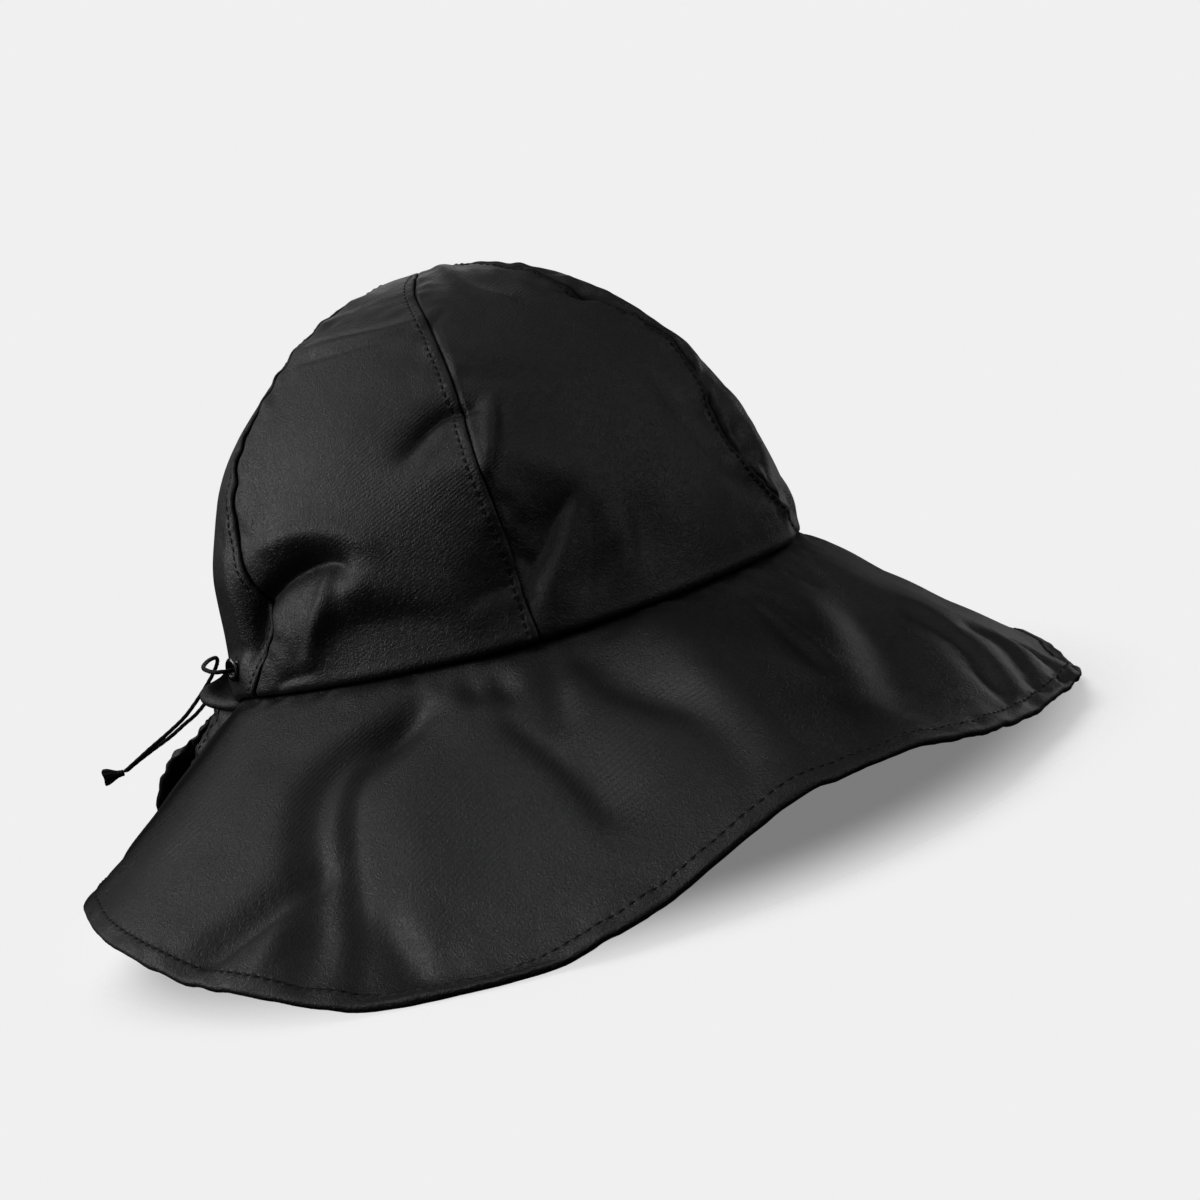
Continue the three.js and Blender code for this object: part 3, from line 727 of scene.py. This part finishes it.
# The brim: for each bearing the height of its hem, its slant from the crown, and its swelling
brimRows = np.array([
    (-190, 28, 37, 0), (-182, 24, 49, 0), (-172, 22, 57, 0), (-160, 23.5, 66, 0), (-150, 24, 77.5, 0),
    (-140, 20.5, 88.5, 1), (-130, 12.8, 97.5, 2), (-120, 6.5, 104.5, 3), (-104, -4.5, 111, 2),
    (-90, 4.5, 105, 2), (-76, 20, 100.5, 2), (-66, 23, 99, 2), (-56, 17, 98, 2), (-45, 10.5, 96, 2),
    (-30, 7.5, 95, 2), (-12, -2.0, 100, .5), (3, 1.0, 101, 0), (20, 4.5, 99, 0), (38, 16, 96, 2),
    (56, 10, 98, 2), (76, -4.5, 104, 2), (92, 4, 103, 2), (108, 14, 101, 3), (122, 8, 100, 3),
    (136, -4.5, 100, 2), (148, 8, 91, 1), (156, 19, 80, 0), (162, 33, 54, 0), (166, 42, 30, 0)], float)
brim = {
    "wall": 1.3,
    "hem": 2.4,
    "hemWidth": 5.0,
    "clearance": 0.6,
    "tuck": 2.5,
    "swellReach": 0.75,
    "columns": 474,
    "uneven": 0.2,
    "foldCrispness": 0.0,
    "fadeTop": (0, 14),     # where the folds grow to their full push: from the crown,
    "fadeSplit": (-2, 10),  # from the edges of the split,
    "fadeHem": (0, 9),      # and from the hem, where this share of it is left
    "foldAtHem": 0.7,
    "puckerDepth": 0.32,
    "puckerReach": 5.0,
    "splitPuckers": 2.6,    # the narrow hems beside the split are drawn in harder
    "splitReach": (6, 16),
    "frontPuckers": 1.5,    # and so is the hem before the front
    "frontBearing": -30,
    "frontSpan": 14,
    "frontReach": (4, 14),
    "topPuckers": 0.35,
    "topPuckerReach": 7.0,
    "needleDepth": 0.3,
    "needleWidth": 0.45,
    "stretch": 1.5,
    "sink": 0.5,            # the brim leaves the crown's edge a little lower, in its shade
    "sinkReach": 3.5,
    "settle": 2.2,          # how gently the hem comes down to the floor where it rests
    "topRows": [0, .4, .9, 1.5, 2.2, 3.0, 4.0, 5.2, 6.6],
    "middleRows": 66,
    "hemRows": [7.0, 6.2, 5.75, 5.4, 5.15, 4.9, 4.6, 4.2, 3.4, 2.4, 1.5, .9, .5, .25, .08, 0],
    "stitchInset": 4.9,
}
# Brim folds as (path of (bearing, share of the slope), push, width left, width right)
brimFolds = [
    ([(-109.6, .085), (-110.8, .158), (-116.4, .219), (-121.2, .319), (-121.6, .438), (-119.2, .592),
      (-117.2, .735), (-116.4, .838), (-116.4, .95)], -4.6, 7.5, 5.5),
    ([(-118.6, .64), (-120.4, .70), (-123, .79), (-126, .89), (-128, .97)], -4.4, 5, 6),
    ([(-119.5, .8), (-120.3, .88), (-121, .98)], 1.2, 3, 3),
    ([(-112.4, .177), (-116, .269), (-116.4, .373), (-115.2, .527), (-113.6, .669), (-112, .823),
      (-111.2, .95)], -4.0, 11, 3.6),
    ([(-111.4, .755), (-110, .80), (-108.4, .86), (-106.4, .95)], -2.8, 4.5, 5),
    ([(-105, .84), (-103.5, .95)], -0.6, 3, 3),
    ([(-145, .1), (-146.5, .35), (-146.5, .6), (-146, .85), (-146, 1.0)], -1.5, 12, 7),
    ([(-160, .1), (-162, .5), (-160, .97)], 1.2, 9, 9),
    ([(-102.8, .02), (-101.4, .08), (-100.2, .15)], -1.9, 3.5, 3),
    ([(-98.8, .02), (-97, .1), (-95.6, .18)], -2.2, 3.5, 3),
    ([(-88.4, .03), (-89.2, .192), (-89.6, .34)], -2.0, 4, 4),
    ([(-95.5, .24), (-91.5, .4), (-89.2, .531), (-87.6, .7)], -2.8, 9, 3.5),
    ([(-83.6, .03), (-81.8, .238), (-78.6, .412), (-76.2, .527), (-75.4, .681), (-76, .815), (-76.4, .912)],
     -3.4, 6, 5),
    ([(-73.2, .06), (-72, .342), (-73.6, .588), (-74.6, .788), (-75.4, .95)], 4.4, 11, 7),
    ([(-50, .1), (-58, .45), (-64, .75), (-68, .97)], -3.4, 9, 12),
    ([(-51.5, .15), (-52, .212), (-54.4, .362), (-56.8, .542)], 1.5, 3, 2),
    ([(-55.5, .02), (-53, .12)], -1.2, 2.5, 3),
    ([(-47, .02), (-45, .12)], -1.0, 2.5, 3),
    ([(-39, .03), (-38.5, .2)], -1.0, 3, 3),
    ([(-36, .3), (-41, .45), (-49.2, .61), (-58, .84)], -6.5, 15, 12),
    ([(-31.6, .4), (-34, .565), (-38, .731), (-42.8, .9)], -2.6, 3, 7),
    ([(-30, .62), (-30.5, .735), (-33.5, .827), (-38.5, .95)], -2.2, 2.5, 5),
    ([(-26, .76), (-29, .88), (-33, .98)], -1.8, 2, 3.5),
    ([(-38.5, .76), (-41.5, .83), (-46, .97)], -1.4, 2, 3),
    ([(-36.5, .88), (-38, .99)], -1.0, 1.4, 2.4),
    ([(6, .1), (12, .5), (16, 1.0)], 2.4, 8, 8),
    ([(30, .05), (30, .5), (31, 1.0)], -3.0, 8, 8),
    ([(62, .05), (66, .5), (71, 1.0)], -3.0, 8, 9),
    ([(84, .1), (84, .5), (85, 1.0)], 2.4, 9, 8),
    ([(122, .05), (118, .5), (114, 1.0)], -3.4, 9, 8),
    ([(-176, .0), (-176, .5), (-177, 1.0)], -3.4, 7, 7),
]
# Painted shade in the cloth, drawn by the matt dark shader: deep in the gap under the crown, a strip where
# the brim turns away at the back, and the steep hollow before the front, which mirrors little, as (bearing,
# up, reach)
brimShade = {
    "gap": 0.9,
    "gapReach": 1.3,
    "strip": 0.8,
    "stripBearing": -154,
    "stripSpan": 7,
    "stripFrom": (1, 5),
    "hollow": 0.4,
    "hollowSpots": [(-57, -38, 24), (-63, -72, 18)],
}
brimStrain = [(-141, -40, 34), (-100, -52, 42), (-82, -70, 26), (60, -50, 40), (110, -50, 40)]


def brimValue(azimuth, column):
    return throughRows(brimRows[:, [0, column]], azimuth)


def brimPoint(azimuth, slope):
    # From under the crown's lower edge outward and down: reach and drop are the two sides of
    # the slant, and the swelling stands square to it
    base = crownPoint(azimuth, 0 * azimuth, crown["wall"] + brim["clearance"])
    angle = np.radians(azimuth)
    outward = unit(np.stack([
        np.cos(angle) / crown["halfLength"], np.sin(angle) / crown["halfWidth"], 0 * angle], -1))
    drop = base[..., 2] - brimValue(azimuth, 1)
    slant = brimValue(azimuth, 2)
    reach = np.sqrt(np.maximum(slant ** 2 - drop ** 2, 1))
    face = outward * (drop / slant)[..., None] + np.stack([0 * slant, 0 * slant, reach / slant], -1)
    swell = brimValue(azimuth, 3) * np.sin(np.pi * slope * brim["swellReach"])
    point = base + outward * (reach * slope)[..., None] + face * swell[..., None]
    point[..., 2] -= drop * slope
    return point, face


def makeBrim():
    azimuth = np.linspace(brimRows[0, 0], brimRows[-1, 0], brim["columns"])
    slant = brimValue(azimuth, 2)
    top = np.array(brim["topRows"])[:, None] / slant[None, :] * np.minimum(1, slant / 60)
    hem = 1 - np.array(brim["hemRows"])[:, None] / slant[None, :]
    t = np.linspace(0, 1, brim["middleRows"] + 2)[1:-1][:, None]
    slope = np.vstack([top, lerp(top[-1:], hem[:1], t), hem])
    azimuth = np.broadcast_to(azimuth[None, :], slope.shape)
    slant = np.broadcast_to(slant[None, :], slope.shape)
    base, face = brimPoint(azimuth, slope)
    down = slope * slant
    toHem = (1 - slope) * slant
    radius = np.hypot(base[..., 0], base[..., 1])
    folds = [([(a, -s * float(brimValue(np.array(float(a)), 2))) for a, s in path], push, left, right)
             for path, push, left, right in brimFolds]
    toStart = np.radians(azimuth - brimRows[0, 0]) * radius
    toEnd = np.radians(brimRows[-1, 0] - azimuth) * radius
    toEdge = np.minimum(np.minimum(toStart, toEnd), toHem)
    edgeNearest = np.minimum(toStart, toEnd)
    push = foldPush(azimuth, -down, radius, folds, brim["foldCrispness"])
    push = push * smooth(*brim["fadeTop"], down) * smooth(*brim["fadeSplit"], edgeNearest)
    push = push * lerp(brim["foldAtHem"], 1, smooth(*brim["fadeHem"], toHem))
    push = push + brim["uneven"] * uneven.at(base) * smooth(0, 10, down)
    band = 1 - smooth(brim["hemWidth"] - 0.1, brim["hemWidth"] + 0.6, toEdge)
    ripple = rumple.at(base)
    drawnIn = brim["puckerDepth"] * (
        1 + brim["splitPuckers"] * (1 - smooth(*brim["splitReach"], edgeNearest))
        + brim["frontPuckers"] * bell(turnFrom(brim["frontBearing"], azimuth), brim["frontSpan"])
        * (1 - smooth(*brim["frontReach"], toHem)))
    atTop = brim["topPuckers"] * np.exp(-down / brim["topPuckerReach"]) * smooth(0, 2, down)
    push = push + (drawnIn * np.exp(-np.abs(toEdge - 3) / brim["puckerReach"]) + atTop) * ripple
    push = (push - brim["needleDepth"] * bell(toEdge - brim["stitchInset"], brim["needleWidth"])
            - brim["sink"] * bell(down, brim["sinkReach"]))
    surface = base + face * push[..., None]
    normal = -gridNormals(surface)
    thickness = lerp(brim["wall"], brim["hem"], band)
    half = thickness / 2 * roundedEdge(toEdge / (thickness / 2), 0.01)
    middle = surface - normal * (thickness / 2)[..., None] + normal * (band * 0.35)[..., None]
    # the lower face never goes under the floor, so the hem lies flat where it rests
    lowest = middle[..., 2] - half * np.abs(normal[..., 2])
    settled = (lowest + np.sqrt(lowest ** 2 + brim["settle"] ** 2)) / 2
    middle[..., 2] += settled - lowest
    outer = middle + normal * half[..., None]
    inner = middle - normal * half[..., None]
    inner[..., 2] = np.maximum(inner[..., 2], 0.0)
    # the upper edge stands up inside the crown
    angle = np.radians(azimuth[0])
    inwards = -np.stack([np.cos(angle), np.sin(angle), 0 * angle], -1)
    tops = np.stack([
        crownPoint(azimuth[0], riseAt(height) + 0 * azimuth[0], crown["wall"] + brim["clearance"])
        for height in (brim["tuck"], brim["tuck"] * 0.5)])
    outer = np.concatenate([tops, outer])
    inner = np.concatenate([tops + inwards * brim["wall"], inner])

    def pad(field):
        return np.vstack([np.zeros((len(tops), field.shape[1])), field])

    uv = np.stack([pad(toStart) / 100, pad(-down) / 100], -1)
    # rubbed wear with a painted highlight: a lighter colour on the hem's rounded edge and on the edge of its
    # band
    wearAndHighlight = pad(0.7 * bell(toEdge - 0.6, 0.8) + 0.4 * bell(toEdge - brim["hemWidth"] + 0.2, 0.5))
    # the row of the hem's stitches, and the two columns beside the split, found a little above the hem
    aboveHem = -10
    firstStitched = 4  # the rows over this one are tucked under the crown
    row = len(tops) + len(brim["topRows"]) + brim["middleRows"] + brim["hemRows"].index(brim["stitchInset"])
    inset = int(np.argmin(np.abs(toStart[aboveHem] - brim["stitchInset"])))
    last = int(np.argmin(np.abs(toEnd[aboveHem] - brim["stitchInset"])))
    gone = lengthAlong(outer[row])
    beat = np.broadcast_to((gone - gone[inset]) / thread["hemPitch"], outer.shape[:2])
    onHem = bell(toHem - brim["stitchInset"], 0.6) * smooth(2, 6, edgeNearest)
    # painted shade for the matt dark shader: the gap under the crown, the strip at the back and the hollow
    # before the front
    strip = brimShade["strip"] * bell(turnFrom(brimShade["stripBearing"], azimuth), brimShade["stripSpan"])
    shade = (brimShade["gap"] * bell(down, brimShade["gapReach"])
             + strip * smooth(*brimShade["stripFrom"], down)
             + brimShade["hollow"] * patchesAt(azimuth, -down, radius, brimShade["hollowSpots"]))
    piece = makeShell("brim_cloth", outer, inner, uv, {
        "wearAndHighlight": wearAndHighlight,
        "stitchBeat": beat,
        "stitchRow": pad(onHem),
        "paintedShade": pad(shade),
        "strain": pad(brim["stretch"] * patchesAt(azimuth, -down, radius, brimStrain))}, flip=True)
    normals = np.concatenate([np.repeat(normal[:1], len(tops), axis=0), normal])
    hemLine = (outer[row, inset:last + 1], normals[row, inset:last + 1])
    stitched = slice(firstStitched, row + 1)
    return piece, [hemLine] + [(outer[stitched, at], normals[stitched, at]) for at in (inset, last)]


brimPiece, hemLines = makeBrim()
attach(brimPiece, "root")
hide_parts("brim")
print("brim", len(brimPiece.data.polygons), "faces")


# Stitches: short arched lengths of thread whose ends dive into the cloth
def stitchRow(name, lines, pitch):
    # Each stitch is a small tube along its line: from proud in the middle its height above the
    # cloth falls with the cube of the share gone to either end, down to the dive
    allPoints = []
    allQuads = []
    allFans = []
    t = np.linspace(-1, 1, thread["rings"])
    sides = thread["sides"]
    turn = fullTurn(sides)
    each = thread["rings"] * sides
    quads = gridQuads(thread["rings"], sides, 0, True, True)
    first = np.arange(sides)
    caps = np.stack([first, first[::-1] + each - sides])
    start = 0
    for points, normals in lines:
        gone = lengthAlong(points)
        count = int(gone[-1] / pitch)
        centres = (np.arange(count) + 0.5) * pitch
        half = (pitch - thread["gap"]) / 2
        at = centres[:, None] + t[None, :] * half
        place = sampledAt(at, gone, points)
        normal = unit(sampledAt(at, gone, normals))
        along = unit(place[:, -1] - place[:, 0])[:, None, :]
        side = unit(np.cross(along, normal))
        lift = thread["proud"] - (thread["dive"] + thread["proud"]) * np.abs(t) ** 3
        centre = place + normal * lift[None, :, None]
        size = thread["radius"] * np.sqrt(np.clip(1 - t ** 8, 0.2, 1))
        ring = (side[:, :, None] * np.cos(turn)[None, None, :, None]
                + normal[:, :, None] * np.sin(turn)[None, None, :, None]) * size[None, :, None, None]
        rings = centre[:, :, None] + ring
        offset = start + np.arange(count)[:, None, None] * each
        allQuads.append((quads[None] + offset).reshape(-1, 4))
        allFans.append((caps[None] + offset).reshape(-1, sides))
        allPoints.append(rings.reshape(-1, 3))
        start += count * each
    return makeMesh(name, np.vstack(allPoints), [np.vstack(allQuads), np.vstack(allFans)])


crownStitches = stitchRow("crown_stitching", seamLines, thread["seamPitch"])
hemStitches = stitchRow("hem_stitching", hemLines, thread["hemPitch"])
for piece in (crownStitches, hemStitches):
    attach(piece, "root")
print("stitches made")


def makeEyelet(name, side):
    # A rolled ring: its section is a round bead outside, a barrel through the wall and a flat
    # flange inside, turned about the outward direction
    centre, outward = eyeletSeat(side)
    outward = unit(outward + np.array([0, eyelet["tilt"] * side, 0]))
    out = eyelet["clearance"]
    back = -crown["wall"] - eyelet["clearance"]
    bore = eyelet["bore"]
    flange = eyelet["flange"]
    barrel = eyelet["barrel"]
    bead = (np.linspace(-0.5, 1.0, eyelet["beadSteps"]) * np.pi)[::-1]
    radii = np.concatenate([
        (bore + flange) / 2 + (flange - bore) / 2 * np.cos(bead),
        [bore, bore, bore + 0.3, flange - 0.4, flange, flange - 0.2, barrel, barrel]])
    heights = np.concatenate([
        out + 0.15 + eyelet["beadRise"] * np.maximum(np.sin(bead), -0.15),
        [out, back, back - 0.6, back - 0.6, back - 0.3, back, back, out]])
    turn = fullTurn(eyelet["sides"])
    across = unit(np.cross(outward, (0, 0, 1)))
    upward = np.cross(outward, across)
    ring = across * np.cos(turn)[:, None] + upward * np.sin(turn)[:, None]
    points = centre + ring[None] * radii[:, None, None] + outward * heights[:, None, None]
    return makeMesh(name, points, gridQuads(len(radii), len(turn), wrap=True, closed=True))


for name, side, node in (("eyelet_ring_right", -1, "eyelet_right"), ("eyelet_ring_left", 1, "eyelet_left")):
    piece = makeEyelet(name, side)
    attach(piece, "root")
    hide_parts(node)
print("eyelets made")


# Materials. A Wire wraps a node's output: arithmetic on it adds Math nodes
class Wire:
    def __init__(self, tree, socket=None):
        self.tree = tree
        self.socket = socket

    def node(self, kind, settings=None, inputs=None, out=0):
        made = self.tree.nodes.new(kind)
        for key, value in (settings or {}).items():
            setattr(made, key, value)
        for key, value in (inputs or {}).items():
            self.feed(made.inputs[key], value)
        return Wire(self.tree, made.outputs[out])

    def feed(self, socket, value):
        if isinstance(value, Wire):
            self.tree.links.new(value.socket, socket)
        else:
            socket.default_value = value

    def maths(self, operation, a, b=0.0):
        return self.node("ShaderNodeMath", {"operation": operation}, {0: a, 1: b})

    def __add__(self, other):
        return self.maths("ADD", self, other)

    def __radd__(self, other):
        return self.maths("ADD", other, self)

    def __sub__(self, other):
        return self.maths("SUBTRACT", self, other)

    def __rsub__(self, other):
        return self.maths("SUBTRACT", other, self)

    def __mul__(self, other):
        return self.maths("MULTIPLY", self, other)

    def __rmul__(self, other):
        return self.maths("MULTIPLY", other, self)


def newMaterial(name, **values):
    material = bpy.data.materials.new(name)
    material.use_nodes = True
    tree = material.node_tree
    shader = tree.nodes["Principled BSDF"]
    for key, value in values.items():
        shader.inputs[key].default_value = value
    return material, Wire(tree), shader


def noise(wire, place, scale, detail, **more):
    return wire.node("ShaderNodeTexNoise", None, {"Vector": place, "Scale": scale, "Detail": detail, **more})


def mark(wire, name):
    return wire.node("ShaderNodeAttribute", {"attribute_name": name}, out=2)


def mixed(wire, share, first, second):
    return wire.node("ShaderNodeMix", {"data_type": "RGBA"}, {0: share, 6: first, 7: second}, out=2)


def relieved(wire, shader, strength, height):
    bump = wire.node("ShaderNodeBump", None, {"Strength": strength, "Distance": mm, "Height": height})
    wire.feed(shader.inputs["Normal"], bump)


fabric = {
    "colour": (0.0034, 0.0034, 0.0036, 1),
    # the lighter colour, for random tone and for rubbed wear with a painted highlight on the edges
    "wornAndHighlit": (0.012, 0.012, 0.0125, 1),
    # the near-black of the matt shader that paints shade into the seams, edges and parts of the brim
    "deep": (0.00045, 0.00045, 0.00045, 1),
    "roughness": 0.5,
    "grainSize": 0.8,    # mm across one curl of the grain
    "grainRelief": 0.24,
    "hatchAngle": 0.42,  # fine stretch lines on the bias of the cloth
    "hatchPitch": 0.98,
    "hatchRelief": 0.10,
    "cloudRelief": 0.12,
    "stitchRelief": 0.22,
}


def fabricMaterial():
    material, wire, shader = newMaterial("coated_cloth", **{
        "Specular IOR Level": 0.5, "Sheen Weight": 0.02, "Sheen Roughness": 0.5})
    place = wire.node("ShaderNodeTexCoord", out=3)
    mottle = noise(wire, place, 38.0, 3.0)
    cloud = noise(wire, place, 260.0, 4.0)
    grain = noise(wire, place, 600 / fabric["grainSize"], 1.0, Distortion=2.2)
    bias = wire.node("ShaderNodeMapping", {"vector_type": "TEXTURE"}, {
        "Vector": place, "Rotation": (0, -fabric["hatchAngle"], 0), "Scale": (mm, mm, mm)})
    hatch = wire.node("ShaderNodeTexWave", {"bands_direction": "Z"}, {
        "Vector": bias, "Scale": 0.314 / fabric["hatchPitch"], "Distortion": 2.4, "Detail": 1.0,
        "Detail Scale": 0.2}, out=1)
    # one wave of the stitch line for each stitch, and rubbed wear with a painted highlight on the edges:
    # there a lighter colour and a little more roughness
    drawn = mark(wire, "stitchRow") * wire.maths("COSINE", mark(wire, "stitchBeat") * (2 * math.pi))
    rubbedAndHighlit = mark(wire, "wearAndHighlight") * (0.35 + mottle * 0.6)
    wire.feed(shader.inputs["Base Color"], mixed(
        wire, rubbedAndHighlit * 0.5 + (cloud - 0.5) * 0.3, fabric["colour"], fabric["wornAndHighlit"]))
    rough = fabric["roughness"] + (mottle - 0.5) * 0.12 + (cloud - 0.5) * 0.08 + rubbedAndHighlit * 0.05
    wire.feed(shader.inputs["Roughness"], rough)
    relief = (grain * fabric["grainRelief"]
              + hatch * mark(wire, "strain") * (mottle * fabric["hatchRelief"])
              + (cloud - 0.5) * fabric["cloudRelief"] + drawn * fabric["stitchRelief"])
    relieved(wire, shader, 1.0, relief)
    # painted shade: a matt near-black shader takes over by the mark, darkening the seam lines,
    # the crown's turned-under edge, the gather's hollow and parts of the brim
    paintedShadeBsdf = wire.node("ShaderNodeBsdfDiffuse", None, {"Color": fabric["deep"], "Roughness": 1.0})
    blend = wire.node("ShaderNodeMixShader", None, {0: mark(wire, "paintedShade") * (0.75 + mottle * 0.4)})
    wire.tree.links.new(shader.outputs[0], blend.socket.node.inputs[1])
    wire.tree.links.new(paintedShadeBsdf.socket, blend.socket.node.inputs[2])
    wire.feed(wire.tree.nodes["Material Output"].inputs["Surface"], blend)
    return material


def threadMaterial():
    material, wire, shader = newMaterial("black_thread", **{"Sheen Weight": 0.02, "Specular IOR Level": 0.2})
    place = wire.node("ShaderNodeTexCoord", out=3)
    fibres = noise(wire, place, 2600.0, 2.0)
    wire.feed(shader.inputs["Base Color"], mixed(
        wire, fibres, (0.002, 0.002, 0.002, 1), (0.008, 0.008, 0.009, 1)))
    wire.feed(shader.inputs["Roughness"], 0.65 + fibres * 0.2)
    relieved(wire, shader, 0.5, fibres * 0.06)
    return material


def enamelMaterial():
    material, wire, shader = newMaterial("black_enamel", **{
        "Metallic": 0.0, "Coat Weight": 0.6, "Coat Roughness": 0.12})
    place = wire.node("ShaderNodeTexCoord", out=3)
    scuff = noise(wire, place, 900.0, 4.0)
    wire.feed(shader.inputs["Base Color"], mixed(
        wire, scuff, (0.004, 0.004, 0.004, 1), (0.013, 0.013, 0.014, 1)))
    wire.feed(shader.inputs["Roughness"], 0.16 + scuff * 0.16)
    return material


clothFinish = fabricMaterial()
threadFinish = threadMaterial()
enamelFinish = enamelMaterial()
for piece in bpy.data.objects:
    if piece.type != "MESH" or piece.hide_render:
        continue
    if piece.name.startswith("eyelet_ring"):
        piece.data.materials.append(enamelFinish)
    elif piece.name.startswith("cord_") or piece.name.endswith("_stitching"):
        piece.data.materials.append(threadFinish)
    elif piece.name.endswith("_cloth"):
        piece.data.materials.append(clothFinish)
print("materials set")


# Stage: a pale disc that fades out, so that the tilted horizon doesn't show, and a pale world
stage = {
    "radius": 0.9,
    "sides": 96,
    "fadeFrom": 0.132,
    "fadeTo": 0.188,
    "paper": (0.871, 0.871, 0.871, 1),
    "dimWorld": (0.004, 0.004, 0.004, 1),  # what the world and the floor throw back on the hat
    "floorPaint": (0.95, 0.95, 0.95, 1),
    "bounce": (0.03, 0.03, 0.03, 1),
    "glow": 0.2,
}


def makeFloor():
    sides = stage["sides"]
    turn = fullTurn(sides)
    ring = np.stack([np.cos(turn), np.sin(turn), 0 * turn], -1) * stage["radius"] / mm
    points = np.vstack([ring - crownAxis, -crownAxis[None]])
    faces = np.stack([np.full(sides, sides), np.arange(sides), np.roll(np.arange(sides), -1)], -1)
    floor = makeMesh("floor_disc", points, faces)
    material, wire, shader = newMaterial("pale_floor", **{
        "Roughness": 0.9, "Specular IOR Level": 0.0, "Emission Color": (1, 1, 1, 1)})
    shown = wire.node("ShaderNodeLightPath")
    wire.feed(shader.inputs["Emission Strength"], shown * stage["glow"])
    wire.feed(shader.inputs["Base Color"], mixed(wire, shown, stage["bounce"], stage["floorPaint"]))
    place = wire.node("ShaderNodeTexCoord", out=3)
    away = wire.node("ShaderNodeVectorMath", {"operation": "LENGTH"}, {0: place}, out=1)
    seen = wire.node("ShaderNodeMapRange", {"interpolation_type": "SMOOTHSTEP"}, {
        0: away, 1: stage["fadeFrom"], 2: stage["fadeTo"], 3: 1.0, 4: 0.0})
    wire.feed(shader.inputs["Alpha"], seen)
    floor.data.materials.append(material)


def makeWorld():
    world = bpy.data.worlds.new("studio")
    world.use_nodes = True
    scene.world = world
    wire = Wire(world.node_tree)
    background = world.node_tree.nodes["Background"]
    shown = wire.node("ShaderNodeLightPath")
    wire.feed(background.inputs["Color"], mixed(wire, shown, stage["dimWorld"], stage["paper"]))
    background.inputs["Strength"].default_value = 1.0


lampAim = (0, 0, 0.06)
lampSize = 0.55
lamps = [
    # name, where it stands, watts
    ("left", (-1.06, 0.0, 0.62), 3.9),
    ("left_front", (-0.92, -0.53, 0.62), 0.6),
    ("left_above", (-0.62, -0.45, 0.98), 0.75),
    ("left_back_above", (-0.68, 0.32, 0.98), 1.2),
    ("overhead", (0.18, 0.20, 1.20), 0.55),
    ("overhead_front", (-0.10, -0.42, 1.10), 0.6),
    ("front_left", (-0.30, -1.00, 0.62), 0.5),
    ("right_above", (0.77, 0.0, 0.98), 0.3),
    ("right_front", (0.92, -0.53, 0.62), 1.2),
    ("right_low", (0.97, -0.70, 0.19), 0.5),
    ("back", (0.0, 1.06, 0.62), 1.2),
    ("back_left", (-0.53, 0.92, 0.62), 0.2),
    ("back_right_low", (0.97, 0.70, 0.19), 0.9),
]
# Two more with an aim and a size of their own: one low at the left, and a wide one that draws only
# the floor's soft shadow while the others draw only the sheen of the cloth
lowLamp = ("left_low", (-1.10, -0.35, 0.10), (0, 0, 0.05), 0.5, 0.2)
floorLamp = ("floor_soft", (-0.32, 0.30, 1.20), (0, 0, 0), 1.5, 16.0)


def makeLamps():
    rows = [(name, place, lampAim, lampSize, watts) for name, place, watts in lamps]
    for name, place, aim, size, watts in rows + [lowLamp, floorLamp]:
        data = bpy.data.lights.new(name, "AREA")
        data.shape = "DISK"
        data.size = size
        data.energy = watts
        lamp = bpy.data.objects.new(name, data)
        scene.collection.objects.link(lamp)
        lamp.location = place
        lamp.rotation_euler = (Vector(aim) - Vector(place)).to_track_quat("-Z", "Y").to_euler()
        lamp.visible_diffuse = name == floorLamp[0]
        lamp.visible_glossy = name != floorLamp[0]


makeFloor()
makeWorld()
makeLamps()
scene.view_settings.view_transform = "Standard"
print("stage set")
